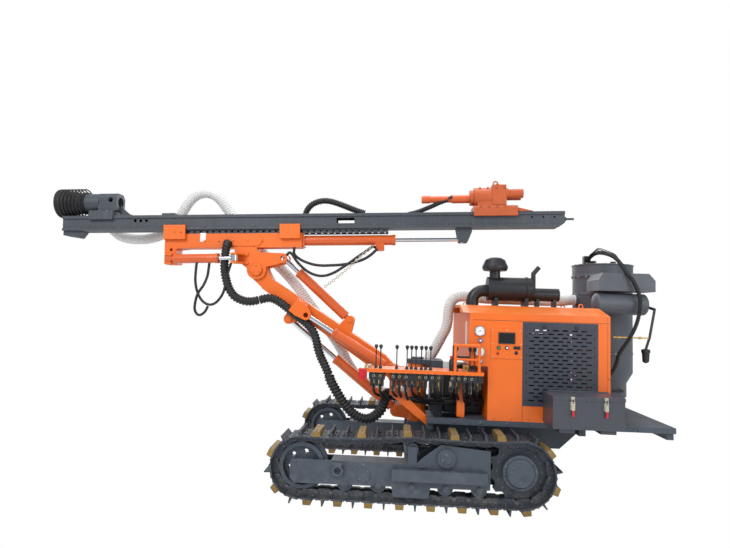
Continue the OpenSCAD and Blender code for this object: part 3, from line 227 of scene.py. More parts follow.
finish("blue_plastic", (70, 70, 160), 0.3, vary=0.05, dust=0.0, bump=0.0)


# Every CAD node gets its slot's surface
slotOf = {s["node"]: s["material_slot"] for s in record["subparts"]}
for name, obj in nodes.items():
    obj.data.materials.clear()
    obj.data.materials.append(materials[slotOf[name]])
print("surfaces on", len(nodes), "nodes")


# Building pieces
def toward(axis):
    return Vector((0, 0, 1)).rotation_difference(Vector(axis).normalized()).to_matrix().to_4x4()


# Quads between neighbouring rings, and caps at both ends where the row of rings is open
def skin(bm, rings, closed=False):
    count = len(rings[0])
    for a, b in zip(rings, rings[1:] + rings[:1] if closed else rings[1:]):
        for k in range(count):
            bm.faces.new((a[k], a[(k + 1) % count], b[(k + 1) % count], b[k]))
    if not closed:
        bm.faces.new(list(reversed(rings[0])))
        bm.faces.new(rings[-1])


def asObject(bm, name, material):
    bmesh.ops.recalc_face_normals(bm, faces=bm.faces)
    mesh = bpy.data.meshes.new(name)
    bm.to_mesh(mesh)
    bm.free()
    obj = bpy.data.objects.new(name, mesh)
    bpy.context.scene.collection.objects.link(obj)
    mesh.materials.append(materials[material])
    mesh.shade_smooth()
    return obj


class Kit:
    def __init__(self, at=None):
        self.bm = bmesh.new()
        self.at = at or Matrix.Identity(4)

    def place(self, verts, matrix):
        bmesh.ops.transform(self.bm, matrix=self.at @ matrix, verts=verts)

    def box(self, lo, hi):
        size = [b - a for a, b in zip(lo, hi)]
        mid = [(a + b) / 2 for a, b in zip(lo, hi)]
        verts = bmesh.ops.create_cube(self.bm, size=1)["verts"]
        self.place(verts, Matrix.Translation(mid) @ Matrix.Diagonal(size + [1]))

    def rod(self, a, b, r, r2=None, sides=24):
        a, b = Vector(a), Vector(b)
        verts = bmesh.ops.create_cone(self.bm, cap_ends=True, segments=sides, radius1=r,
                                      radius2=r if r2 is None else r2, depth=(b - a).length)["verts"]
        self.place(verts, Matrix.Translation((a + b) / 2) @ toward(b - a))

    # profile: (distance along the axis, radius)
    def lathe(self, profile, origin, axis, sides=48):
        turns = [2 * math.pi * k / sides for k in range(sides)]
        rings = [[self.bm.verts.new((r * math.cos(a), r * math.sin(a), h)) for a in turns] for h, r in profile]
        skin(self.bm, rings)
        self.place(sum(rings, []), Matrix.Translation(origin) @ toward(axis))

    def bolt(self, at, axis, r=0.012, h=0.009, washer=True):
        at, axis = Vector(at), Vector(axis).normalized()
        if washer:
            self.rod(at - axis * 0.002, at + axis * 0.0025, r * 1.45, sides=20)
        self.rod(at, at + axis * h, r * 1.12, sides=6)
        self.rod(at, at + axis * (h + r * 0.35), r * 0.55, sides=12)

    # Bolts on a circle round an axis along Y or Z, at angles from X
    def bolts(self, centre, axis, radius, angles, r, h=0.009):
        other = Vector((0, 0, 1)) if axis[1] else Vector((0, 1, 0))
        for a in angles:
            a = math.radians(a)
            self.bolt(Vector(centre) + Vector((radius * math.cos(a), 0, 0)) + other * radius * math.sin(a),
                    axis, r, h)

    def ring(self, at, axis, big, small, sides=32, tube=10):
        rows = []
        for a in [2 * math.pi * k / sides for k in range(sides)]:
            row = [(big + small * math.cos(b),
                    small * math.sin(b)) for b in [2 * math.pi * j / tube for j in range(tube)]]
            rows.append([self.bm.verts.new((q * math.cos(a), q * math.sin(a), h)) for q, h in row])
        skin(self.bm, rows, True)
        self.place(sum(rows, []), Matrix.Translation(at) @ toward(axis))

    # A flat outline in X and Z, from a to b along Y
    def plate(self, outline, a, b):
        low = [self.bm.verts.new((x, a, z)) for x, z in outline]
        high = [self.bm.verts.new((x, b, z)) for x, z in outline]
        skin(self.bm, [low, high])
        self.place(low + high, Matrix.Identity(4))

    def done(self, name, body, material, slot, bevel=0.0015, segments=2):
        obj = asObject(self.bm, name, material)
        if bevel:
            mod = obj.modifiers.new("edges", "BEVEL")
            mod.width, mod.segments, mod.limit_method, mod.angle_limit = bevel, segments, "ANGLE", math.radians(40)
            mod.harden_normals = False
        obj.data.set_sharp_from_angle(angle=math.radians(35))
        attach(obj, body)
        return obj


# Points a step apart along a smooth curve through the given points
def smoothPath(points, step):
    p = [Vector(q) for q in points]
    p = [p[0] * 2 - p[1]] + p + [p[-1] * 2 - p[-2]]
    dense = []
    for i in range(1, len(p) - 2):
        a, b, c, d = p[i - 1:i + 3]
        for k in range(24):
            t = k / 24
            dense.append(0.5 * ((2 * b) + (c - a) * t + (2 * a - 5 * b + 4 * c - d) * t * t + (3 * b - a - 3 * c + d) * t ** 3))
    dense.append(p[-2])
    total = sum((b - a).length for a, b in zip(dense, dense[1:]))
    count = max(2, round(total / step))
    out, want, gone = [dense[0]], total / count, 0.0
    for a, b in zip(dense, dense[1:]):
        gap = (b - a).length
        while gone + gap >= want - 1e-9 and len(out) < count:
            a = a + (b - a) * ((want - gone) / gap if gap else 0)
            gap = (b - a).length
            gone = 0.0
            out.append(a.copy())
        gone += gap
    out.append(dense[-1])
    return out, total


# A swept hose. rib is the height of its corrugation or wrap, and pitch its spacing
def hose(name, body, points, radius, material, rib=0.0, pitch=0.02, helix=False, sides=16):
    line, total = smoothPath(points, pitch / 5 if rib else radius * 0.9)
    bm = bmesh.new()
    rings = []
    normal = None
    for i, q in enumerate(line):
        ahead = (line[min(i + 1, len(line) - 1)] - line[max(i - 1, 0)]).normalized()
        if normal is None:
            normal = ahead.orthogonal().normalized()
        normal = (normal - ahead * normal.dot(ahead)).normalized()
        side = ahead.cross(normal)
        s = i * total / (len(line) - 1)
        ring = []
        for k in range(sides):
            a = 2 * math.pi * k / sides
            r = radius
            if rib:
                phase = 2 * math.pi * s / pitch + (a if helix else 0)
                wave = math.cos(phase)
                r = radius - rib * (0.5 - 0.5 * (abs(wave) ** 0.6) * (1 if wave > 0 else -1))
            ring.append(bm.verts.new(q + (normal * math.cos(a) + side * math.sin(a)) * r))
        rings.append(ring)
    skin(bm, rings)
    obj = asObject(bm, name, material)
    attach(obj, body)


# Free hoses: body, route in millimetres, radius, surface, rib height, rib spacing and whether the rib winds
hoses = {
    "dust_hose_mast": ("mast", [(-2600, -30, 2500), (-2511, -15, 2430), (-2400, -10, 2405),
        (-2303, -10, 2401), (-2190, -10, 2412), (-2079, -10, 2445), (-1980, -10, 2500), (-1906, -10, 2582),
        (-1855, -10, 2670), (-1803, -10, 2763), (-1760, -10, 2830), (-1700, -10, 2890), (-1610, -10, 2930),
        (-1510, -10, 2920), (-1420, -10, 2860), (-1354, -10, 2782), (-1300, -10, 2715), (-1235, -10, 2641),
        (-1160, -10, 2550), (-1071, -10, 2446), (-960, -15, 2325)], 0.056, "hose_white", 0.006, 0.026, True),
    "dust_hose_boom": ("boom", [(-945, -15, 2310), (-830, -20, 2215), (-783, -20, 2180), (-710, -20, 2120),
        (-635, -20, 2048), (-565, -20, 1973), (-498, -20, 1894), (-425, -20, 1800), (-350, -20, 1705),
        (-280, -20, 1617), (-213, -20, 1528), (-145, -20, 1440), (-78, -20, 1352), (-20, -20, 1262),
        (30, -20, 1165), (90, 0, 1070), (170, 30, 980), (280, 70, 900), (410, 90, 840), (520, 100, 805)],
        0.056, "hose_white", 0.006, 0.026, True),
    "dust_hose_rear": ("rig", [(535, 100, 803), (600, 100, 820), (660, 80, 860), (720, 50, 940),
        (788, 20, 1039), (840, 0, 1117), (889, -10, 1198), (935, -10, 1278), (979, -10, 1358),
        (1025, -10, 1448), (1069, -10, 1538), (1085, -10, 1620), (1090, -10, 1700), (1105, -10, 1785),
        (1150, -10, 1850), (1230, -10, 1875), (1380, 0, 1866), (1550, 20, 1858), (1750, 40, 1858),
        (1950, 70, 1858), (2150, 120, 1858), (2320, 200, 1865), (2420, 250, 1878), (2485, 270, 1880)],
        0.056, "hose_white", 0.006, 0.026, True),
    "bundle_head": ("carrier", [(-1206, -360, 2330), (-1214, -370, 2240), (-1217, -375, 2145),
        (-1208, -380, 2040), (-1180, -385, 1940), (-1145, -385, 1860), (-1090, -385, 1795),
        (-1006, -385, 1757), (-930, -380, 1750), (-850, -375, 1765)], 0.046, "hose_black", 0.01, 0.03, True),
    "bundle_boom": ("boom", [(-835, -375, 1770), (-740, -370, 1790), (-660, -360, 1765), (-560, -360, 1700),
        (-460, -360, 1620), (-360, -360, 1550), (-290, -370, 1480), (-250, -380, 1400), (-225, -390, 1310),
        (-190, -400, 1220), (-142, -420, 1136), (-100, -425, 1050)], 0.046, "hose_black", 0.01, 0.03, True),
    "bundle_rig": ("rig", [(-98, -428, 1040), (-75, -445, 990), (-30, -460, 920), (17, -470, 850),
        (60, -470, 790), (110, -470, 735), (170, -475, 685), (240, -480, 655), (310, -485, 655),
        (370, -490, 690), (420, -500, 745), (450, -510, 820), (470, -520, 900)],
        0.052, "hose_black", 0.012, 0.032, True),
    "mast_bundle": ("mast", [(-430, -230, 2645), (-425, -230, 2690), (-405, -230, 2735), (-370, -230, 2775),
        (-330, -230, 2800), (-280, -230, 2817), (-230, -230, 2823), (-170, -230, 2818), (-103, -230, 2800),
        (-30, -230, 2775), (50, -230, 2745), (120, -230, 2720), (190, -230, 2700)],
        0.034, "hose_black", 0.007, 0.022, True),
    "head_bundle": ("mast", [(640, -230, 2700), (700, -230, 2715), (760, -230, 2735), (820, -230, 2760),
        (882, -232, 2787), (950, -236, 2820), (1023, -240, 2850), (1090, -250, 2880)],
        0.026, "hose_black", 0.006, 0.018, True),
    "loop_front_a": ("carrier", [(-1495, -400, 2150), (-1497, -410, 2080), (-1496, -420, 1970),
        (-1484, -425, 1890), (-1460, -430, 1820), (-1425, -430, 1760), (-1380, -430, 1720),
        (-1330, -430, 1705), (-1280, -430, 1720), (-1240, -425, 1760), (-1210, -420, 1810),
        (-1194, -420, 1857), (-1186, -410, 1920), (-1184, -400, 1979)], 0.013, "hose_black", 0, 0.02, False),
    "loop_front_b": ("carrier", [(-1375, -370, 2150), (-1379, -375, 2080), (-1385, -380, 2006),
        (-1400, -390, 1945), (-1420, -400, 1892), (-1445, -410, 1850), (-1467, -420, 1800),
        (-1480, -420, 1750), (-1487, -420, 1697), (-1485, -420, 1650), (-1460, -420, 1607),
        (-1420, -425, 1600), (-1375, -430, 1635), (-1348, -430, 1690)], 0.013, "hose_black", 0, 0.02, False),
    "loop_under_a": ("carrier", [(-516, -300, 2250), (-440, -305, 2190), (-326, -310, 2150),
        (-230, -320, 2138), (-138, -330, 2141), (-40, -335, 2148), (44, -335, 2162), (130, -330, 2185),
        (204, -320, 2215), (270, -310, 2260), (322, -300, 2312)], 0.014, "hose_black", 0, 0.02, False),
    "loop_under_b": ("carrier", [(-550, -330, 2260), (-470, -335, 2160), (-370, -340, 2075),
        (-270, -345, 2035), (-180, -345, 2035), (-90, -345, 2070), (-20, -345, 2115), (50, -340, 2165),
        (120, -335, 2220), (200, -320, 2280), (280, -310, 2340)], 0.014, "hose_black", 0, 0.02, False),
    "collector_hose": ("rig", [(2585, 180, 2285), (2600, 140, 2340), (2640, 60, 2375), (2690, -50, 2360),
        (2735, -170, 2310), (2765, -260, 2230), (2797, -320, 2140), (2835, -345, 2080), (2867, -355, 2010),
        (2890, -360, 1945), (2904, -360, 1878), (2903, -360, 1790), (2889, -355, 1703), (2865, -350, 1620),
        (2830, -345, 1540), (2785, -340, 1460), (2740, -335, 1390), (2710, -330, 1330), (2690, -330, 1250),
        (2650, -325, 1170), (2580, -320, 1100), (2484, -320, 1060)], 0.021, "hose_black", 0.006, 0.016, False),
}
# Ends that meet another hose; every other end is seated on the nearest solid
meeting = {"dust_hose_mast": (0, 1), "dust_hose_boom": (1, 1), "dust_hose_rear": (1, 0), "bundle_head": (0, 1),
           "bundle_boom": (1, 1), "bundle_rig": (1, 0)}


def nearestSolid(q):
    found = []
    for obj in nodes.values():
        inside = obj.matrix_world.inverted() @ Vector(q)
        ok, at, normal, index = obj.closest_point_on_mesh(inside)
        if ok:
            at = obj.matrix_world @ at
            found.append(((at - Vector(q)).length, tuple(at)))
    return min(found)


def seated(points, meets):
    points = list(points)
    for k, place in ((0, 0), (-1, len(points))):
        gap, at = nearestSolid(points[k])
        if not meets[k] and 0.015 < gap < 0.25:
            points.insert(0 if k == 0 else len(points), at)
    return points


for name, (body, points, radius, surface, rib, pitch, winds) in hoses.items():
    points = seated([tuple(v / 1000 for v in q) for q in points], meeting.get(name, (0, 0)))
    hose(name, body, points, radius, surface, rib, pitch, winds, sides=20 if radius > 0.03 else 12)
print("hoses", len(hoses))


# Track chain: the same loop as the solids, as points and headings along it
track = {"mid": 0.700, "wheelbase": 1.896, "gauge": 1.760, "pitch": 0.133, "teeth": 12, "idlerR": 0.235,
         "ground": 0.083, "runZ": 0.587, "sag": 0.014, "padTop": 0.0785, "plate": 0.033}


def trackLoop(c):
    idler, drive = c["mid"] - c["wheelbase"] / 2, c["mid"] + c["wheelbase"] / 2
    driveR = c["pitch"] * c["teeth"] / (2 * math.pi)
    idlerZ, driveZ = c["ground"] + c["idlerR"], c["ground"] + driveR
    topDrive, topMid, topIdler = (drive, driveZ + driveR), (c["mid"] + 0.021, c["runZ"]), (idler,
            idlerZ + c["idlerR"])
    parts = [c["wheelbase"], math.pi * driveR, math.dist(topDrive, topMid), math.dist(topMid, topIdler),
            math.pi * c["idlerR"]]
    total = sum(parts)
    count = round(total / c["pitch"])
    step = total / count

    def arc(x, z, r, a):
        a = math.radians(a)
        return x + r * math.cos(a), z + r * math.sin(a), math.degrees(a) + 90

    def span(a, b, t):
        dz = b[1] - a[1] - 4 * c["sag"] * (1 - 2 * t)
        return (a[0] + (b[0] - a[0]) * t, a[1] + (b[1] - a[1]) * t - 4 * c["sag"] * t * (1 - t),
                math.degrees(math.atan2(dz, b[0] - a[0])))

    def at(s):
        for k, length in enumerate(parts):
            if s < length or k == 4:
                t = s / length
                break
            s -= length
        return [lambda: (idler + s, c["ground"], 0.0), lambda: arc(drive, driveZ, driveR, -90 + 180 * t),
                lambda: span(topDrive, topMid, t), lambda: span(topMid, topIdler, t),
                lambda: arc(idler, idlerZ, c["idlerR"], 90 + 180 * t)][k]()

    return [at((i + 0.5) * step) for i in range(count)], [at(i * step) for i in range(count)], idlerZ


shoeSpots, jointSpots, idlerZ = trackLoop(track)


# Local X along the chain, Y across, Z outward from the chain
def linkFrame(spot, y):
    a = math.radians(spot[2])
    return Matrix.Translation((spot[0], y, spot[1])) @ Matrix(((math.cos(a), 0, math.sin(a), 0), (0, -1, 0, 0),
                                                               (math.sin(a), 0, -math.cos(a), 0), (0, 0, 0, 1)))


def addTracks():
    for side, word in ((-1, "left"), (1, "right")):
        y = side * track["gauge"] / 2
        pads, bolts, pins = Kit(), Kit(), Kit()
        for i, spot in enumerate(shoeSpots):
            upper = spot[1] > idlerZ
            f = linkFrame(spot, y)
            pads.at = bolts.at = f
            if i % 3 == 0 if upper else i % 2 == 0:
                pads.plate([(-0.0385, 0.0335), (0.0385, 0.0335), (0.0345, track["padTop"] - 0.006), (0.029,
                        track["padTop"]),
                            (-0.029, track["padTop"]), (-0.0345, track["padTop"] - 0.006)], -0.1552, 0.1552)
                for v in (-0.128, -0.07, 0.07, 0.128):
                    bolts.bolt((0, v, track["padTop"] - 0.001), (0, 0, 1), 0.008, 0.0012, False)
                pads.box((-0.012, -0.04, track["padTop"] - 0.002), (0.012, 0.04, track["padTop"] + 0.0012))
            else:
                for u in (-0.028, 0.028):
                    for v in (-0.062, 0.062):
                        bolts.bolt((u, v, track["plate"]), (0, 0, 1), 0.0085, 0.009, False)
                bolts.plate([(-0.055, track["plate"] - 0.002), (-0.05, track["plate"] + 0.008), (-0.044,
                        track["plate"] - 0.002)], -0.15, 0.15)
        for spot in jointSpots:
            pins.at = linkFrame(spot, y)
            for v in (-1, 1):
                pins.rod((0, v * 0.0745, 0), (0, v * 0.083, 0), 0.025, 0.023, 20)
                pins.rod((0, v * 0.0825, 0), (0, v * 0.0865, 0), 0.013, sides=16)
        for spot in shoeSpots:
            pins.at = linkFrame(spot, y)
            for v in (-1, 1):
                for u in (-0.021, 0.021):
                    pins.rod((u, v * 0.0745, 0.006), (u, v * 0.078, 0.006), 0.011, sides=12)
        pads.done("track_pads_" + word, "rig", "pad_rubber", "track_steel", 0.002)
        bolts.done("shoe_bolts_" + word, "rig", "track_steel", "track_steel", 0)
        pins.done("chain_pins_" + word, "rig", "track_steel", "track_steel", 0.001, 1)


def addTrackFrames():
    idlerX, driveX, idlerC, driveC = -0.248, 1.648, 0.318, 0.337
    for side, word in ((-1, "left"), (1, "right")):
        y = side * 0.880
        face = y + side * 0.102
        out = (0, side, 0)
        k = Kit()
        k.bolts((1.012, face + side * 0.0355, 0.443), out, 0.034, (90, 210, 330), 0.010, 0.008)
        k.lathe([(-0.01, 0.080), (0.0265, 0.080), (0.0285, 0.077), (0.0285, 0.056), (0.034, 0.052), (0.0355,
                0.048)], (1.012, face, 0.443), out)
        # Final drive cover: stepped rim and bolts
        cover = y + side * 0.0745
        k.lathe([(-0.01, 0.1505), (0.002, 0.1505), (0.004, 0.146), (0.004, 0.128), (0.020, 0.120), (0.026,
                0.112), (0.026, 0.04), (0.029, 0.03)],
                (driveX, cover, driveC), out, 64)
        k.bolts((driveX, cover + side * 0.0035, driveC), out, 0.137, range(8, 368, 30), 0.0075, 0.006)
        k.bolts((driveX, cover + side * 0.0255, driveC), out, 0.075, (30, 150, 270), 0.008, 0.006)
        k.bolts((driveX, y + side * 0.0245, driveC), out, 0.196, [22.5 * i for i in range(16)], 0.009, 0.008)
        # Bolts along the frame's top flange, roller axle ends and the grease cover
        for i in range(5):
            x = idlerX + 0.387 + 0.290 * i
            k.lathe([(-0.004, 0.028), (0.009, 0.028), (0.011, 0.024), (0.011, 0.012), (0.013, 0.009)], (x,
                    face + side * 0.0005, 0.184), out, 24)
        for x in (-0.30, 0.18, 0.30, 0.42):
            k.bolt((x, face, 0.352), out, 0.009, 0.007)
        k.lathe([(-0.004, 0.062), (0.005, 0.062), (0.007, 0.057), (0.007, 0.02)], (0.30, face, 0.262), out, 40)
        k.bolts((0.30, face + side * 0.006, 0.262), out, 0.048, (45, 135, 225, 315), 0.006, 0.004)
        # Idler hub
        k.lathe([(-0.01, 0.058), (0.004, 0.058), (0.008, 0.050), (0.008, 0.03), (0.016, 0.026), (0.018, 0.02)],
                (idlerX, y + side * 0.0845, idlerC), out, 32)
        k.plate([(0.760, 0.355), (0.840, 0.355), (0.840, 0.371), (0.760, 0.371)],
                *sorted((face, face + side * 0.016)))
        k.done("frame_fittings_" + word, "rig", "frame_paint", "frame_paint", 0.0012)
        k = Kit()
        # Tow shackle on the rear of the frame and the ring under its clamp
        ring = face + side * 0.014
        k.ring((0.075, ring + side * 0.020, 0.300), out, 0.040, 0.011)
        k.box((0.035, min(face, ring + side * 0.03), 0.338), (0.115, max(face, ring + side * 0.03), 0.366))
        k.bolt((0.052, ring + side * 0.03, 0.352), out, 0.008, 0.006)
        k.bolt((0.098, ring + side * 0.03, 0.352), out, 0.008, 0.006)
        k.done("lashing_fittings_" + word, "rig", "frame_paint", "frame_paint", 0.0015)


addTracks()
addTrackFrames()
print("tracks dressed")


# Hood: gauges, control plate, seams, fastenings, blank label and grille latches
hood = {"halfW": 0.760, "front": 1.221, "rear": 2.475, "sideZ": 1.703, "roofZ": 1.780, "platform": 0.738,
        "seamX": 1.700, "seamZ": 1.640}
gauges = [(1.312, 1.539, 0.047, True), (1.318, 1.453, 0.021, False), (1.313, 1.351, 0.047, True), (1.323, 1.265,
        0.020, False)]


def addHood(h):
    y = -h["halfW"]
    out = (0, -1, 0)
    rims, faces, dark, blue = Kit(), Kit(), Kit(), Kit()
    for x, z, r, big in gauges:
        rims.lathe([(0.008, r + 0.001), (0.013, r + 0.001), (0.017, r - 0.002), (0.017, r * 0.86), (0.0125,
                r * 0.80), (0.0120, r * 0.1)], (x, y, z), out, 56)
        if big:
            faces.lathe([(0.010, r * 0.80), (0.0135, r * 0.80), (0.0135, r * 0.1)], (x, y, z), out, 48)
            for i in range(11):
                a = math.radians(225 - i * 27)
                dark.rod((x + r * 0.6 * math.cos(a), y - 0.0138, z + r * 0.6 * math.sin(a)),
                        (x + r * 0.72 * math.cos(a), y - 0.0138, z + r * 0.72 * math.sin(a)), 0.0008, sides=6)
            a = math.radians(200)
            dark.rod((x - 0.2 * r * math.cos(a), y - 0.0150, z - 0.2 * r * math.sin(a)),
                    (x + 0.62 * r * math.cos(a), y - 0.0150, z + 0.62 * r * math.sin(a)), 0.0014, 0.0005, 8)
            dark.rod((x, y - 0.0135, z), (x, y - 0.0165, z), 0.005, sides=16)
        else:
            blue.lathe([(0.010, r * 0.82), (0.0150, r * 0.82), (0.0165, r * 0.7), (0.0165, r * 0.45)], (x, y,
                    z), out, 32)
            faces.lathe([(0.012, r * 0.44), (0.0172, r * 0.42), (0.0176, r * 0.1)], (x, y, z), out, 24)
    rims.done("gauge_rims", "rig", "chrome_rod", "black_parts", 0)
    faces.done("gauge_faces", "rig", "gauge_face", "black_parts", 0)
    blue.done("indicator_rims", "rig", "blue_plastic", "black_parts", 0)
    # Orange control plate over the solids' plate, with screws at its rim
    k = Kit()
    x0, x1, z0, z1 = h["front"] + 0.193, h["front"] + 0.474, 1.296, 1.566
    k.box((x0 - 0.001, y - 0.0075, z0 - 0.001), (x1 + 0.001, y - 0.0005, z1 + 0.001))
    k.done("control_plate", "rig", "orange_paint", "orange_paint", 0.002)
    k = Kit()
    for x in (x0 + 0.012, (x0 + x1) / 2, x1 - 0.012):
        for z in (z0 + 0.012, (z0 + z1) / 2, z1 - 0.012):
            if abs(x - (x0 + x1) / 2) > 0.01 or abs(z - (z0 + z1) / 2) > 0.01:
                k.rod((x, y - 0.007, z), (x, y - 0.010, z), 0.0055, 0.0040, 16)
    k.done("plate_screws", "rig", "zinc", "black_parts", 0)
    dark.box((x0 + 0.066, y - 0.018, z0 + 0.135), (x0 + 0.214, y - 0.007, z0 + 0.237))
    for x in (0.205, 0.235):
        dark.lathe([(0.007, 0.0165), (0.0115, 0.0165), (0.013, 0.014), (0.013, 0.011), (0.019, 0.010)],
                (x0 + x + 0.011, y, z0 + 0.101), out, 24)
        dark.box((x0 + x - 0.006, y - 0.026, z0 + 0.096), (x0 + x + 0.028, y - 0.018, z0 + 0.106))
    dark.lathe([(0.007, 0.0165), (0.0115, 0.0165), (0.013, 0.014), (0.016, 0.011)], (x0 + 0.226, y, z0 + 0.055),
            out, 24)
    dark.lathe([(0.007, 0.018), (0.010, 0.018), (0.012, 0.0165)], (x0 + 0.069, y, z0 + 0.097), out, 24)
    dark.lathe([(0.007, 0.018), (0.010, 0.018), (0.012, 0.0165)], (x0 + 0.142, y, z0 + 0.099), out, 24)
    # Seams between the panels: thin dark lines
    s = 0.0016
    for side in (-1, 1):
        f = side * h["halfW"]
        for a, b in (((h["seamX"] - s, h["platform"] + 0.002), (h["seamX"] + s, h["seamZ"])),
                     ((h["front"] + 0.03, h["seamZ"] - s), (h["rear"] - 0.004, h["seamZ"] + s)),
                     ((h["rear"] - 0.026, h["platform"] + 0.002), (h["rear"] - 0.024, h["sideZ"] - 0.004))):
            dark.box((a[0], min(f, f + side * 0.0006), a[1]), (b[0], max(f, f + side * 0.0006), b[1]))
    dark.done("dial_marks_and_seams", "rig", "black_parts", "black_parts", 0.0004, 1)
    k = Kit()
    k.box((x0 + 0.073, y - 0.0186, z0 + 0.142), (x0 + 0.207, y - 0.0170, z0 + 0.230))
    k.done("display_glass", "rig", "screen", "black_parts", 0.001)
    k = Kit()
    k.lathe([(0.010, 0.0135), (0.019, 0.0135), (0.021, 0.0115), (0.0215, 0.004)], (x0 + 0.069, y, z0 + 0.097),
            out, 32)
    k.done("start_button", "rig", "green_plastic", "black_parts", 0)
    k = Kit()
    k.lathe([(0.010, 0.012), (0.022, 0.012), (0.0265, 0.009), (0.027, 0.003)], (x0 + 0.142, y, z0 + 0.099), out,
            32)
    k.done("white_knob", "rig", "blank_label", "black_parts", 0)
    k = Kit()
    k.lathe([(0.007, 0.010), (0.014, 0.010), (0.018, 0.006), (0.0185, 0.002)], (x0 + 0.060, y, z0 + 0.046), out,
            24)
    k.done("red_lamp", "rig", "red_paint", "black_parts", 0)
    k = Kit()
    k.box((h["front"] - 0.0025, -0.560, 1.397), (h["front"] - 0.0003, -0.455, 1.623))
    k.done("blank_strip", "rig", "blank_label", "orange_paint", 0.0006)
    # Fastenings of the grille panels: two turn latches and a screw row at each rim
    k = Kit()
    gx0, gx1, gz0, gz1 = h["front"] + 0.479, h["front"] + 1.145, h["platform"] + 0.143, h["sideZ"] - 0.069
    for side in (-1, 1):
        f = side * (h["halfW"] + 0.004)
        o = (0, side, 0)
        for x in (gx0 + 0.19, gx1 - 0.19):
            k.lathe([(-0.001, 0.019), (0.003, 0.019), (0.006, 0.016), (0.006, 0.005)], (x, f, gz1 - 0.040), o,
                    32)
            k.box((x - 0.013, min(f, f + side * 0.010), gz1 - 0.043), (x + 0.013, max(f, f + side * 0.010),
                    gz1 - 0.037))
        for x in (gx0 + 0.03, gx1 - 0.03):
            for i in range(9):
                z = gz0 + 0.05 + i * (gz1 - gz0 - 0.10) / 8
                k.rod((x, f, z), (x, f + side * 0.003, z), 0.0075, 0.006, 16)
    k.done("grille_latches", "rig", "black_parts", "black_parts", 0.0008)
    # Lifting eyes on the roof
    k = Kit()
    for y in (-0.30, 0.30):
        for x in (1.30, 2.36):
            k.ring((x, y, h["roofZ"] + 0.018), (0, 1, 0), 0.020, 0.006)
    k.done("roof_eyes", "rig", "roof_paint", "roof_paint", 0)
    k = Kit()
    for side in (-1, 1):
        for z in (0.80, 1.15):
            k.bolt((h["rear"] - 0.012, side * h["halfW"], z), (0, side, 0), 0.007, 0.005)
        for x in (1.45, 1.60, 1.76, 2.0, 2.25, 2.43):
            k.bolt((x, side * h["halfW"], h["platform"] + 0.022), (0, side, 0), 0.007, 0.005)
    k.done("hood_bolts", "rig", "orange_paint", "orange_paint", 0)


addHood(hood)
print("hood dressed")


# Toolbox latches, hasp, lid handle and blank plate
toolbox = {"x0": 1.883, "front": -1.087, "z1": 1.021}


def addToolbox(b):
    y = b["front"] - 0.0045
    k, red = Kit(), Kit()
    for x in (b["x0"] + 0.160, b["x0"] + 0.435):
        k.box((x - 0.020, y - 0.003, b["z1"] - 0.105), (x + 0.020, b["front"], b["z1"] - 0.040))
        k.rod((x - 0.017, y - 0.010, b["z1"] - 0.060), (x + 0.017, y - 0.010, b["z1"] - 0.060), 0.006, sides=16)
        k.box((x - 0.014, y - 0.016, b["z1"] - 0.110), (x + 0.014, y - 0.009, b["z1"] - 0.058))
        for s in (-0.010, 0.010):
            k.rod((x + s, y - 0.012, b["z1"] - 0.062), (x + s, y - 0.010, b["z1"] - 0.008), 0.0028, sides=10)
        k.rod((x - 0.010, y - 0.010, b["z1"] - 0.008), (x + 0.010, y - 0.010, b["z1"] - 0.008), 0.0028,
                sides=10)
        for s in (-0.014, 0.014):
            k.rod((x + s, y - 0.002, b["z1"] - 0.095), (x + s, y - 0.006, b["z1"] - 0.095), 0.004, 0.003, 12)
        red.box((x - 0.009, y - 0.020, b["z1"] - 0.160), (x + 0.009, y - 0.010, b["z1"] - 0.108))
    k.done("toolbox_latches", "rig", "zinc", "box_paint", 0.001)
    red.done("latch_grips", "rig", "red_paint", "box_paint", 0.003)
    k = Kit()
    for x in (b["x0"] + 0.160, b["x0"] + 0.435):
        k.box((x - 0.016, y - 0.006, b["z1"] - 0.022), (x + 0.016, y + 0.001, b["z1"] + 0.003))
        k.rod((x - 0.012, y - 0.009, b["z1"] - 0.004), (x + 0.012, y - 0.009, b["z1"] - 0.004), 0.005, sides=12)
    k.done("latch_hooks", "lid", "zinc", "box_paint", 0.001)
    k = Kit()
    x = b["x0"] + 0.290
    k.box((x - 0.018, y - 0.004, b["z1"] - 0.036), (x + 0.018, y + 0.001, b["z1"] + 0.004))
    k.box((x - 0.075, b["front"] + 0.05, b["z1"] + 0.0032), (x + 0.075, b["front"] + 0.10, b["z1"] + 0.0050))
    k.done("lid_hasp", "lid", "box_paint", "box_paint", 0.001)


addToolbox(toolbox)
print("toolbox dressed")


# Places on the solids, found by their boxes and by rays
def partBox(name, at=None):
    turn = (at.inverted() if at else Matrix.Identity(4)) @ nodes[name].matrix_world
    points = [turn @ v.co for v in nodes[name].data.vertices]
    return [min(p[i] for p in points) for i in range(3)], [max(p[i] for p in points) for i in range(3)]


def onSolid(name, origin, direction):
    back = nodes[name].matrix_world.inverted()
    ok, at, normal, index = nodes[name].ray_cast(back @ Vector(origin), back.to_3x3() @ Vector(direction))
    return nodes[name].matrix_world @ at if ok else None


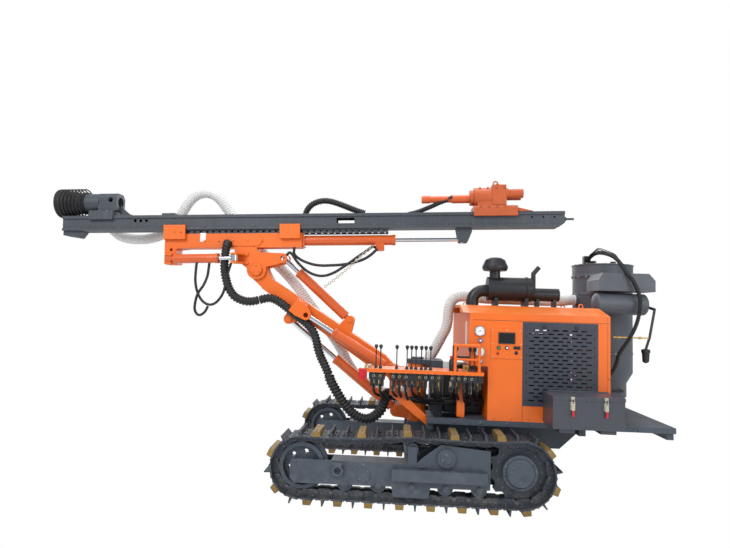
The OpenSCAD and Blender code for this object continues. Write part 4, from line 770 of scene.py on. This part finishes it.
# Bolt rows: node, body, frame, first and last place, count, direction of view and size
boltRows = [
    ("mast", "mast", mastFrame, (-1.80, -0.7, 0.455), (2.95, -0.7, 0.455), 20, (0, 1, 0), 0.010),
    ("carrier", "carrier", mastFrame, (-0.86, -0.7, 0.395), (-0.66, -0.7, 0.395), 4, (0, 1, 0), 0.011),
    ("carrier", "carrier", mastFrame, (-0.10, -0.7, 0.395), (0.10, -0.7, 0.395), 4, (0, 1, 0), 0.011),
    ("carrier", "carrier", mastFrame, (-0.55, -0.7, 0.30), (0.05, -0.7, 0.30), 5, (0, 1, 0), 0.009),
    ("power_head", "power_head", mastFrame, (2.20, -0.7, 0.62), (2.52, -0.7, 0.62), 5, (0, 1, 0), 0.010),
    ("power_head", "power_head", mastFrame, (2.20, -0.7, 0.82), (2.52, -0.7, 0.82), 5, (0, 1, 0), 0.010),
    ("centralizer", "mast", mastFrame, (-1.86, -0.7, 0.62), (-1.42, -0.7, 0.62), 6, (0, 1, 0), 0.009),
    ("head_bracket", "head", mastFrame, (-0.20, -0.7, 0.14), (0.02, -0.7, 0.20), 3, (0, 1, 0), 0.011),
    ("boom_post", "post", None, (0.60, -0.9, 0.90), (0.74, -0.9, 0.90), 2, (0, 1, 0), 0.010),
    ("chassis_frame", "rig", None, (1.10, -1.3, 0.712), (2.95, -1.3, 0.712), 9, (0, 1, 0), 0.010),
    ("hood_rear", "rig", None, (3.4, -0.70, 0.82), (3.4, -0.70, 1.62), 5, (-1, 0, 0), 0.008),
    ("hood_rear", "rig", None, (3.4, 0.70, 0.82), (3.4, 0.70, 1.62), 5, (-1, 0, 0), 0.008),
    ("valve_deck", "rig", None, (0.36, -1.4, 1.055), (1.12, -1.4, 1.055), 5, (0, 1, 0), 0.008),
]


def addBolts():
    kits = {}
    for node, body, at, first, last, count, view, size in boltRows:
        frame_ = at or Matrix.Identity(4)
        for i in range(count):
            t = i / (count - 1)
            origin = frame_ @ Vector([a + (b - a) * t for a, b in zip(first, last)])
            look = frame_.to_3x3() @ Vector(view)
            place = onSolid(node, origin, look)
            if place:
                kits.setdefault((body, slotOf[node]), Kit()).bolt(place, -look, size, size * 0.7)
    for (body, slot), k in kits.items():
        k.done("bolts_" + body + "_" + slot, body, slot, slot, 0.0006, 1)


# Round dust collector over the plain solid, with flanges, bolts, bands and its valve block
drum = {"x": 2.797, "y": 0.350, "r": 0.305, "bottom": 0.860, "cone": 1.005, "wall": 1.118, "flange": 2.132,
        "top": 2.268, "small": 0.243,
        "bands": (1.31, 1.93), "lidHoses": 5}


def addCollector(c):
    x, y, r = c["x"], c["y"], c["r"]
    k = Kit()
    k.lathe([(c["bottom"], c["small"]), (c["cone"], c["small"]), (c["wall"], r), (c["flange"], r), (c["flange"],
            r + 0.014),
             (c["flange"] + 0.022, r + 0.014), (c["flange"] + 0.022, r + 0.006), (c["top"] - 0.012, r + 0.006),
             (c["top"] - 0.012, r + 0.012), (c["top"], r + 0.012), (c["top"] + 0.006,
                     r - 0.03)], (x, y, 0), (0, 0, 1), 80)
    for dx in (-0.15, 0.15):
        for dy in (-0.15, 0.15):
            k.box((x + dx - 0.026, y + dy - 0.026, 0.738), (x + dx + 0.026, y + dy + 0.026, c["bottom"] + 0.01))
    for z in c["bands"]:
        k.lathe([(z, r - 0.002), (z, r + 0.003), (z + 0.028, r + 0.003), (z + 0.028, r - 0.002)], (x, y, 0), (0,
                0, 1), 80)
        k.box((x - 0.02, y - r - 0.016, z + 0.002), (x + 0.02, y - r + 0.004, z + 0.026))
    k.lathe([(0, 0.070), (0.012, 0.070), (0.012, 0.060), (0.19, 0.060)], (x - r - 0.012, y - 0.08, 1.88), (1, 0,
            0), 40)
    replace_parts(k.done("collector_drum", "rig", "collector_paint", "collector_paint", 0.002), "dust_collector")
    k = Kit()
    k.bolts((x, y, c["flange"]), (0, 0, -1), r + 0.008, range(5, 365, 18), 0.0065, 0.006)
    k.bolts((x, y, c["top"]), (0, 0, 1), r - 0.006, range(5, 365, 18), 0.0065, 0.006)
    for z in c["bands"]:
        k.rod((x - 0.035, y - r - 0.010, z + 0.014), (x + 0.035, y - r - 0.010, z + 0.014), 0.0045, sides=12)
    k.done("collector_bolts", "rig", "zinc", "collector_paint", 0)
    k = Kit()
    k.box((x + 0.02, y - c["small"] - 0.003, 0.925), (x + 0.135, y - c["small"] + 0.05, 0.947))
    k.box((x - 0.255, y - 0.19, c["top"]), (x - 0.185, y - 0.13, c["top"] + 0.085))
    for i in range(c["lidHoses"]):
        k.rod((x - 0.245 + i * 0.0125, y - 0.19, c["top"] + 0.06), (x - 0.245 + i * 0.0125, y - 0.205,
                c["top"] + 0.06), 0.005, sides=10)
    k.rod((x - 0.10, y - 0.02, c["top"]), (x - 0.10, y - 0.02, c["top"] + 0.05), 0.03)
    k.rod((x + 0.12, y, c["top"]), (x + 0.12, y, c["top"] + 0.05), 0.03)
    k.done("valve_block", "rig", "black_parts", "black_parts", 0.002)
    for i in range(c["lidHoses"]):
        out = x - 0.245 + i * 0.0125
        route = [(out, y - 0.193, c["top"] + 0.020), (out + 0.005, y - 0.225, c["top"] + 0.045 + 0.008 * i),
                 (out + 0.04, y - 0.30, c["top"] + 0.105 + 0.012 * i), (out + 0.09, y - 0.40,
                         c["top"] + 0.085 + 0.010 * i),
                 (2.722 + 0.006 * i, -0.15, 2.318 + 0.006 * i), (2.748 + 0.004 * i, -0.215, 2.262 + 0.004 * i)]
        hose("lid_hose_%d" % i, "rig", route, 0.0045, "hose_black", 0, 0.02, sides=8)
    k = Kit()
    k.rod((3.068, -0.30, 1.790), (3.001, -0.335, 1.505), 0.012)
    k.rod((3.001, -0.335, 1.510), (2.966, -0.335, 1.400), 0.012)
    k.lathe([(1.27, 0.012), (1.285, 0.030), (1.365, 0.034), (1.372, 0.040), (1.40, 0.040), (1.405, 0.02)],
            (2.966, -0.335, 0), (0, 0, 1), 32)
    k.rod((3.068, -0.30, 1.79), (3.050, -0.21, 1.81), 0.014)
    k.done("tank_pipe", "rig", "black_parts", "black_parts", 0.001)
    k = Kit()
    k.rod((2.66, -0.335, 1.51), (2.995, -0.335, 1.51), 0.007)
    k.rod((2.70, -0.335, 1.51), (2.722, -0.335, 1.51), 0.014, sides=6)
    k.rod((2.90, -0.335, 1.51), (2.925, -0.335, 1.51), 0.014, sides=6)
    k.done("drain_rod", "rig", "brass_fitting", "black_parts", 0.0006)


# Lever deck: black tank behind the valves, fittings, hoses, bottle, rail and the red valve
deck = {"tankX": (1.034, 1.386), "tankY": (-0.430, 0.560), "tankZ": (0.739, 1.140), "pipes": 17, "wallX": 1.388,
        "levers": 12, "bottle": 0.780, "railX": (1.072, 1.219), "railZ": (1.40, 1.30)}


def addDeck(c):
    (x0, y0, z0), (x1, y1, z1) = partBox("valve_banks")
    (a0, b0, _), (a1, _, _) = partBox("valve_deck")
    c1 = min(q.z for q in (onSolid("valve_deck", (a0 + v, b0 + 0.10, 2.0), (0, 0, -1)) for v in (0.05, 0.25,
            0.45)) if q)
    k = Kit()
    k.box((c["tankX"][0], c["tankY"][0], c["tankZ"][0]), (c["tankX"][1], c["tankY"][1], c["tankZ"][1]))
    k.lathe([(0, 0.05), (0.03, 0.05), (0.03, 0.062), (0.055, 0.062), (0.058, 0.05)], (1.18, -0.30,
            c["tankZ"][1]), (0, 0, 1), 40)
    k.done("oil_tank", "rig", "black_parts", "black_parts", 0.012, 4)
    zinc, brass, dark = Kit(), Kit(), Kit()
    mid = (y0 + y1) / 2
    for i in range(c["pipes"]):
        x = x0 + 0.045 + (x1 - x0 - 0.09) * i / (c["pipes"] - 1)
        metal = brass if i % 3 == 1 else zinc
        under = [q for q in (onSolid("valve_banks", (x, v, z0 - 0.3), (0, 0, 1)) for v in (mid, y0 + 0.05,
                y1 - 0.05)) if q]
        if not under:
            continue
        base, mid = under[0].z, under[0].y
        metal.rod((x, mid, base + 0.002), (x, mid, base - 0.016), 0.016, sides=6)
        metal.rod((x, mid, base - 0.014), (x, mid, base - 0.095 - 0.012 * (i % 2)), 0.0155, sides=20)
        metal.rod((x, mid, base - 0.045), (x, mid, base - 0.062), 0.0175, sides=6)
        for z in (base + 0.035, base + 0.075):
            front = onSolid("valve_banks", (x, y0 - 0.3, z), (0, 1, 0))
            if front:
                metal.rod(front, front + Vector((0, -0.010, 0)), 0.0135, sides=6)
                dark.rod(front + Vector((0, -0.009, 0)), front + Vector((0, -0.016, 0)), 0.008, sides=16)
        deep = base - 0.17 - 0.018 * (i % 3)
        turnY = -0.455 - 0.028 * (i % 4)
        run = [(x, mid, base - 0.022), (x, mid, base - 0.11), (x + 0.03, (mid + turnY) / 2, deep), (x + 0.10,
                turnY, deep - 0.03)]
        while run[-1][0] < 1.22:
            run.append((run[-1][0] + 0.14, turnY, deep - 0.045 + 0.012 * (len(run) % 2)))
        run.append((1.30, turnY, deep - 0.03))
        run.append((c["wallX"], turnY, deep - 0.02))
        hose("deck_hose_%02d" % i, "rig", run, 0.0125, "hose_black", 0, 0.02, sides=12)
    for i in range(c["levers"]):
        x = a0 + 0.07 + (a1 - a0 - 0.34) * i / (c["levers"] - 1)
        for dy in (0.030, 0.115):
            place = onSolid("valve_deck", (x + 0.018, b0 + dy, c1 + 0.5), (0, 0, -1))
            if place:
                zinc.bolt(place, (0, 0, 1), 0.006, 0.005)
    # Brake fluid bottle, brass cluster and the round gauge beside the red valve
    x = a0 + c["bottle"]
    dark.lathe([(0, 0.036), (0.09, 0.036), (0.105, 0.026), (0.112, 0.024)], (x, b0 + 0.10, c1), (0, 0, 1), 32)
    brass.rod((x + 0.10, b0 + 0.10, c1 - 0.002), (x + 0.10, b0 + 0.10, c1 + 0.060), 0.013, sides=6)
    brass.rod((x + 0.10, b0 + 0.10, c1 + 0.045), (x + 0.135, b0 + 0.10, c1 + 0.045), 0.010, sides=16)
    brass.rod((x + 0.135, b0 + 0.10, c1 - 0.002), (x + 0.135, b0 + 0.10, c1 + 0.050), 0.011, sides=6)
    for v in (0.03, 0.07):
        brass.rod((a0 - 0.012, b0 + v, c1 - 0.005), (a0 - 0.012, b0 + v, c1 + 0.03), 0.010, sides=6)
    zinc.lathe([(0, 0.012), (0.02, 0.012), (0.022, 0.024), (0.034, 0.024), (0.036, 0.02)], (a0 + 0.02,
            b0 + 0.05, c1), (0, 0, 1), 28)
    red = Kit()
    red.lathe([(0.110, 0.029), (0.130, 0.029), (0.134, 0.026)], (x, b0 + 0.10, c1), (0, 0, 1), 32)
    red.box((a0 - 0.075, b0 + 0.01, c1 - 0.105), (a0 + 0.001, b0 + 0.10, c1 - 0.005))
    red.rod((a0 - 0.040, b0 + 0.012, c1 - 0.055), (a0 - 0.040, b0 - 0.012, c1 - 0.055), 0.020)
    red.done("red_valve", "rig", "red_paint", "black_parts", 0.003)
    near, far, rail = *c["railX"], b0 + 0.06
    dark.rod((near, rail, c1), (near, rail, c["railZ"][0]), 0.009, sides=16)
    for z in c["railZ"]:
        dark.rod((near, rail, z), (far, rail, z), 0.009, sides=16)
    zinc.done("deck_fittings_zinc", "rig", "zinc", "black_parts", 0.0005, 1)
    brass.done("deck_fittings_brass", "rig", "brass_fitting", "black_parts", 0.0005, 1)
    dark.done("deck_fittings_black", "rig", "black_parts", "black_parts", 0.0008, 1)


# Boot folds, lifting eye, hanging chain, pin caps and the blank plate on the mast group
chainPath = [(0.300, -0.345, 2.354), (0.181, -0.350, 2.247), (0.052, -0.350, 2.121), (-0.077, -0.350, 2.006),
        (-0.195, -0.360, 1.910)]


def addMastGroup():
    low, high = partBox("dust_boot", mastFrame)
    k = Kit(mastFrame)
    size = (high[2] - low[2]) / 2
    mid = (high[2] + low[2]) / 2
    for i in range(8):
        k.ring((low[0] + 0.02 + (high[0] - low[0] - 0.04) * i / 7, 0, mid), (1, 0, 0), size - 0.003, 0.0065, 56,
                10)
    k.done("boot_folds", "mast", "rubber", "rubber", 0)
    k = Kit()
    place = onSolid("power_head", mastFrame @ Vector((2.447, 0, 1.6)), mastFrame.to_3x3() @ Vector((0, 0, -1)))
    if place:
        k.rod(place, place + Vector((0, 0, 0.012)), 0.016)
        k.ring(place + Vector((0, 0, 0.034)), (0, 1, 0), 0.022, 0.007)
    k.done("lifting_eye", "power_head", "head_paint", "head_paint", 0)
    k = Kit()
    line, total = smoothPath(chainPath, 0.026)
    for i, q in enumerate(line[1:-1], 1):
        ahead = (line[i + 1] - line[i - 1]).normalized()
        across = Vector((0, 1, 0)) if i % 2 else ahead.cross(Vector((0, 1, 0))).normalized()
        k.ring(q, across, 0.013, 0.0034, 14, 6)
    k.done("safety_chain", "carrier", "zinc", "spindle_steel", 0)
    for body, node, q in (("post", "boom_post", footPivot), ("head", "head_bracket", headPivot)):
        k = Kit()
        place = onSolid(node, (q[0], -1.4, q[2]), (0, 1, 0))
        if place:
            k.lathe([(-0.002, 0.062), (0.010, 0.062), (0.013, 0.058), (0.013, 0.02)], place, (0, -1, 0), 48)
            k.bolts(place + Vector((0, -0.013, 0)), (0, -1, 0), 0.040, (90, 210, 330), 0.008)
        k.done("pin_caps_" + body, body, "orange_paint", "orange_paint", 0.001)
    place = onSolid("carrier", mastFrame @ Vector((-0.57, -0.9, 0.34)), (0, 1, 0))
    if place:
        k = Kit()
        k.box((place.x - 0.030, place.y - 0.002, place.z - 0.045), (place.x + 0.030, place.y + 0.0005,
                place.z + 0.045))
        k.done("blank_plate", "carrier", "blank_label", "orange_paint", 0.0004)


addBolts()
addCollector(drum)
addDeck(deck)
addMastGroup()
print("details added")


# Plain studio: pale floor, soft world light and four soft lamps
def addStudio():
    scene = bpy.context.scene
    world = bpy.data.worlds.new("studio")
    scene.world = world
    t = Tree(world)
    path = t.add("ShaderNodeLightPath")
    seen = t.math("MAXIMUM", path.outputs["Is Camera Ray"], path.outputs["Is Transmission Ray"])
    soft = t.add("ShaderNodeBackground", {"Color": (0.93, 0.96, 1.0, 1), "Strength": 0.6})
    white = t.add("ShaderNodeBackground", {"Color": (1, 1, 1, 1), "Strength": 1.0})
    both = t.add("ShaderNodeMixShader", {0: seen, 1: soft.outputs[0], 2: white.outputs[0]})
    t.add("ShaderNodeOutputWorld", {"Surface": both.outputs[0]})
    floor = bpy.data.meshes.new("floor")
    floor.from_pydata([(-40, -30, 0), (40, -30, 0), (40, 50, 0), (-40, 50, 0)], [], [(0, 1, 2, 3)])
    floorObj = bpy.data.objects.new("floor", floor)
    scene.collection.objects.link(floorObj)
    m = bpy.data.materials.new("floor")
    t = Tree(m)
    path = t.add("ShaderNodeLightPath")
    plain = t.add("ShaderNodeBsdfDiffuse", {"Color": (0.8, 0.8, 0.8, 1)})
    glow = t.add("ShaderNodeEmission", {"Color": (1, 1, 1, 1), "Strength": 1.0})
    both = t.add("ShaderNodeMixShader", {0: path.outputs["Is Camera Ray"], 1: plain.outputs[0],
            2: glow.outputs[0]})
    t.add("ShaderNodeOutputMaterial", {"Surface": both.outputs[0]})
    floor.materials.append(m)
    lamps = {"key": ((-3.5, -6.5, 6.5), (0.2, -0.3, 1.3), 420, 3.5), "fill": ((5.5, -6.0, 3.5), (0.8, 0, 1.2),
            160, 4.0),
             "top": ((0.5, 0.5, 7.5), (0.3, 0, 1.0), 300, 5.0), "back": ((1.0, 7.0, 5.0), (0.3, 0, 1.4), 200,
                     5.0)}
    for name, (place, aim, power, size) in lamps.items():
        data = bpy.data.lights.new(name, "AREA")
        data.energy, data.size = power, size
        obj = bpy.data.objects.new(name, data)
        obj.location = place
        obj.rotation_euler = (Vector(aim) - Vector(place)).to_track_quat("-Z", "Y").to_euler()
        scene.collection.objects.link(obj)
    scene.view_settings.view_transform = "Standard"
    scene.view_settings.look = "None"


addStudio()
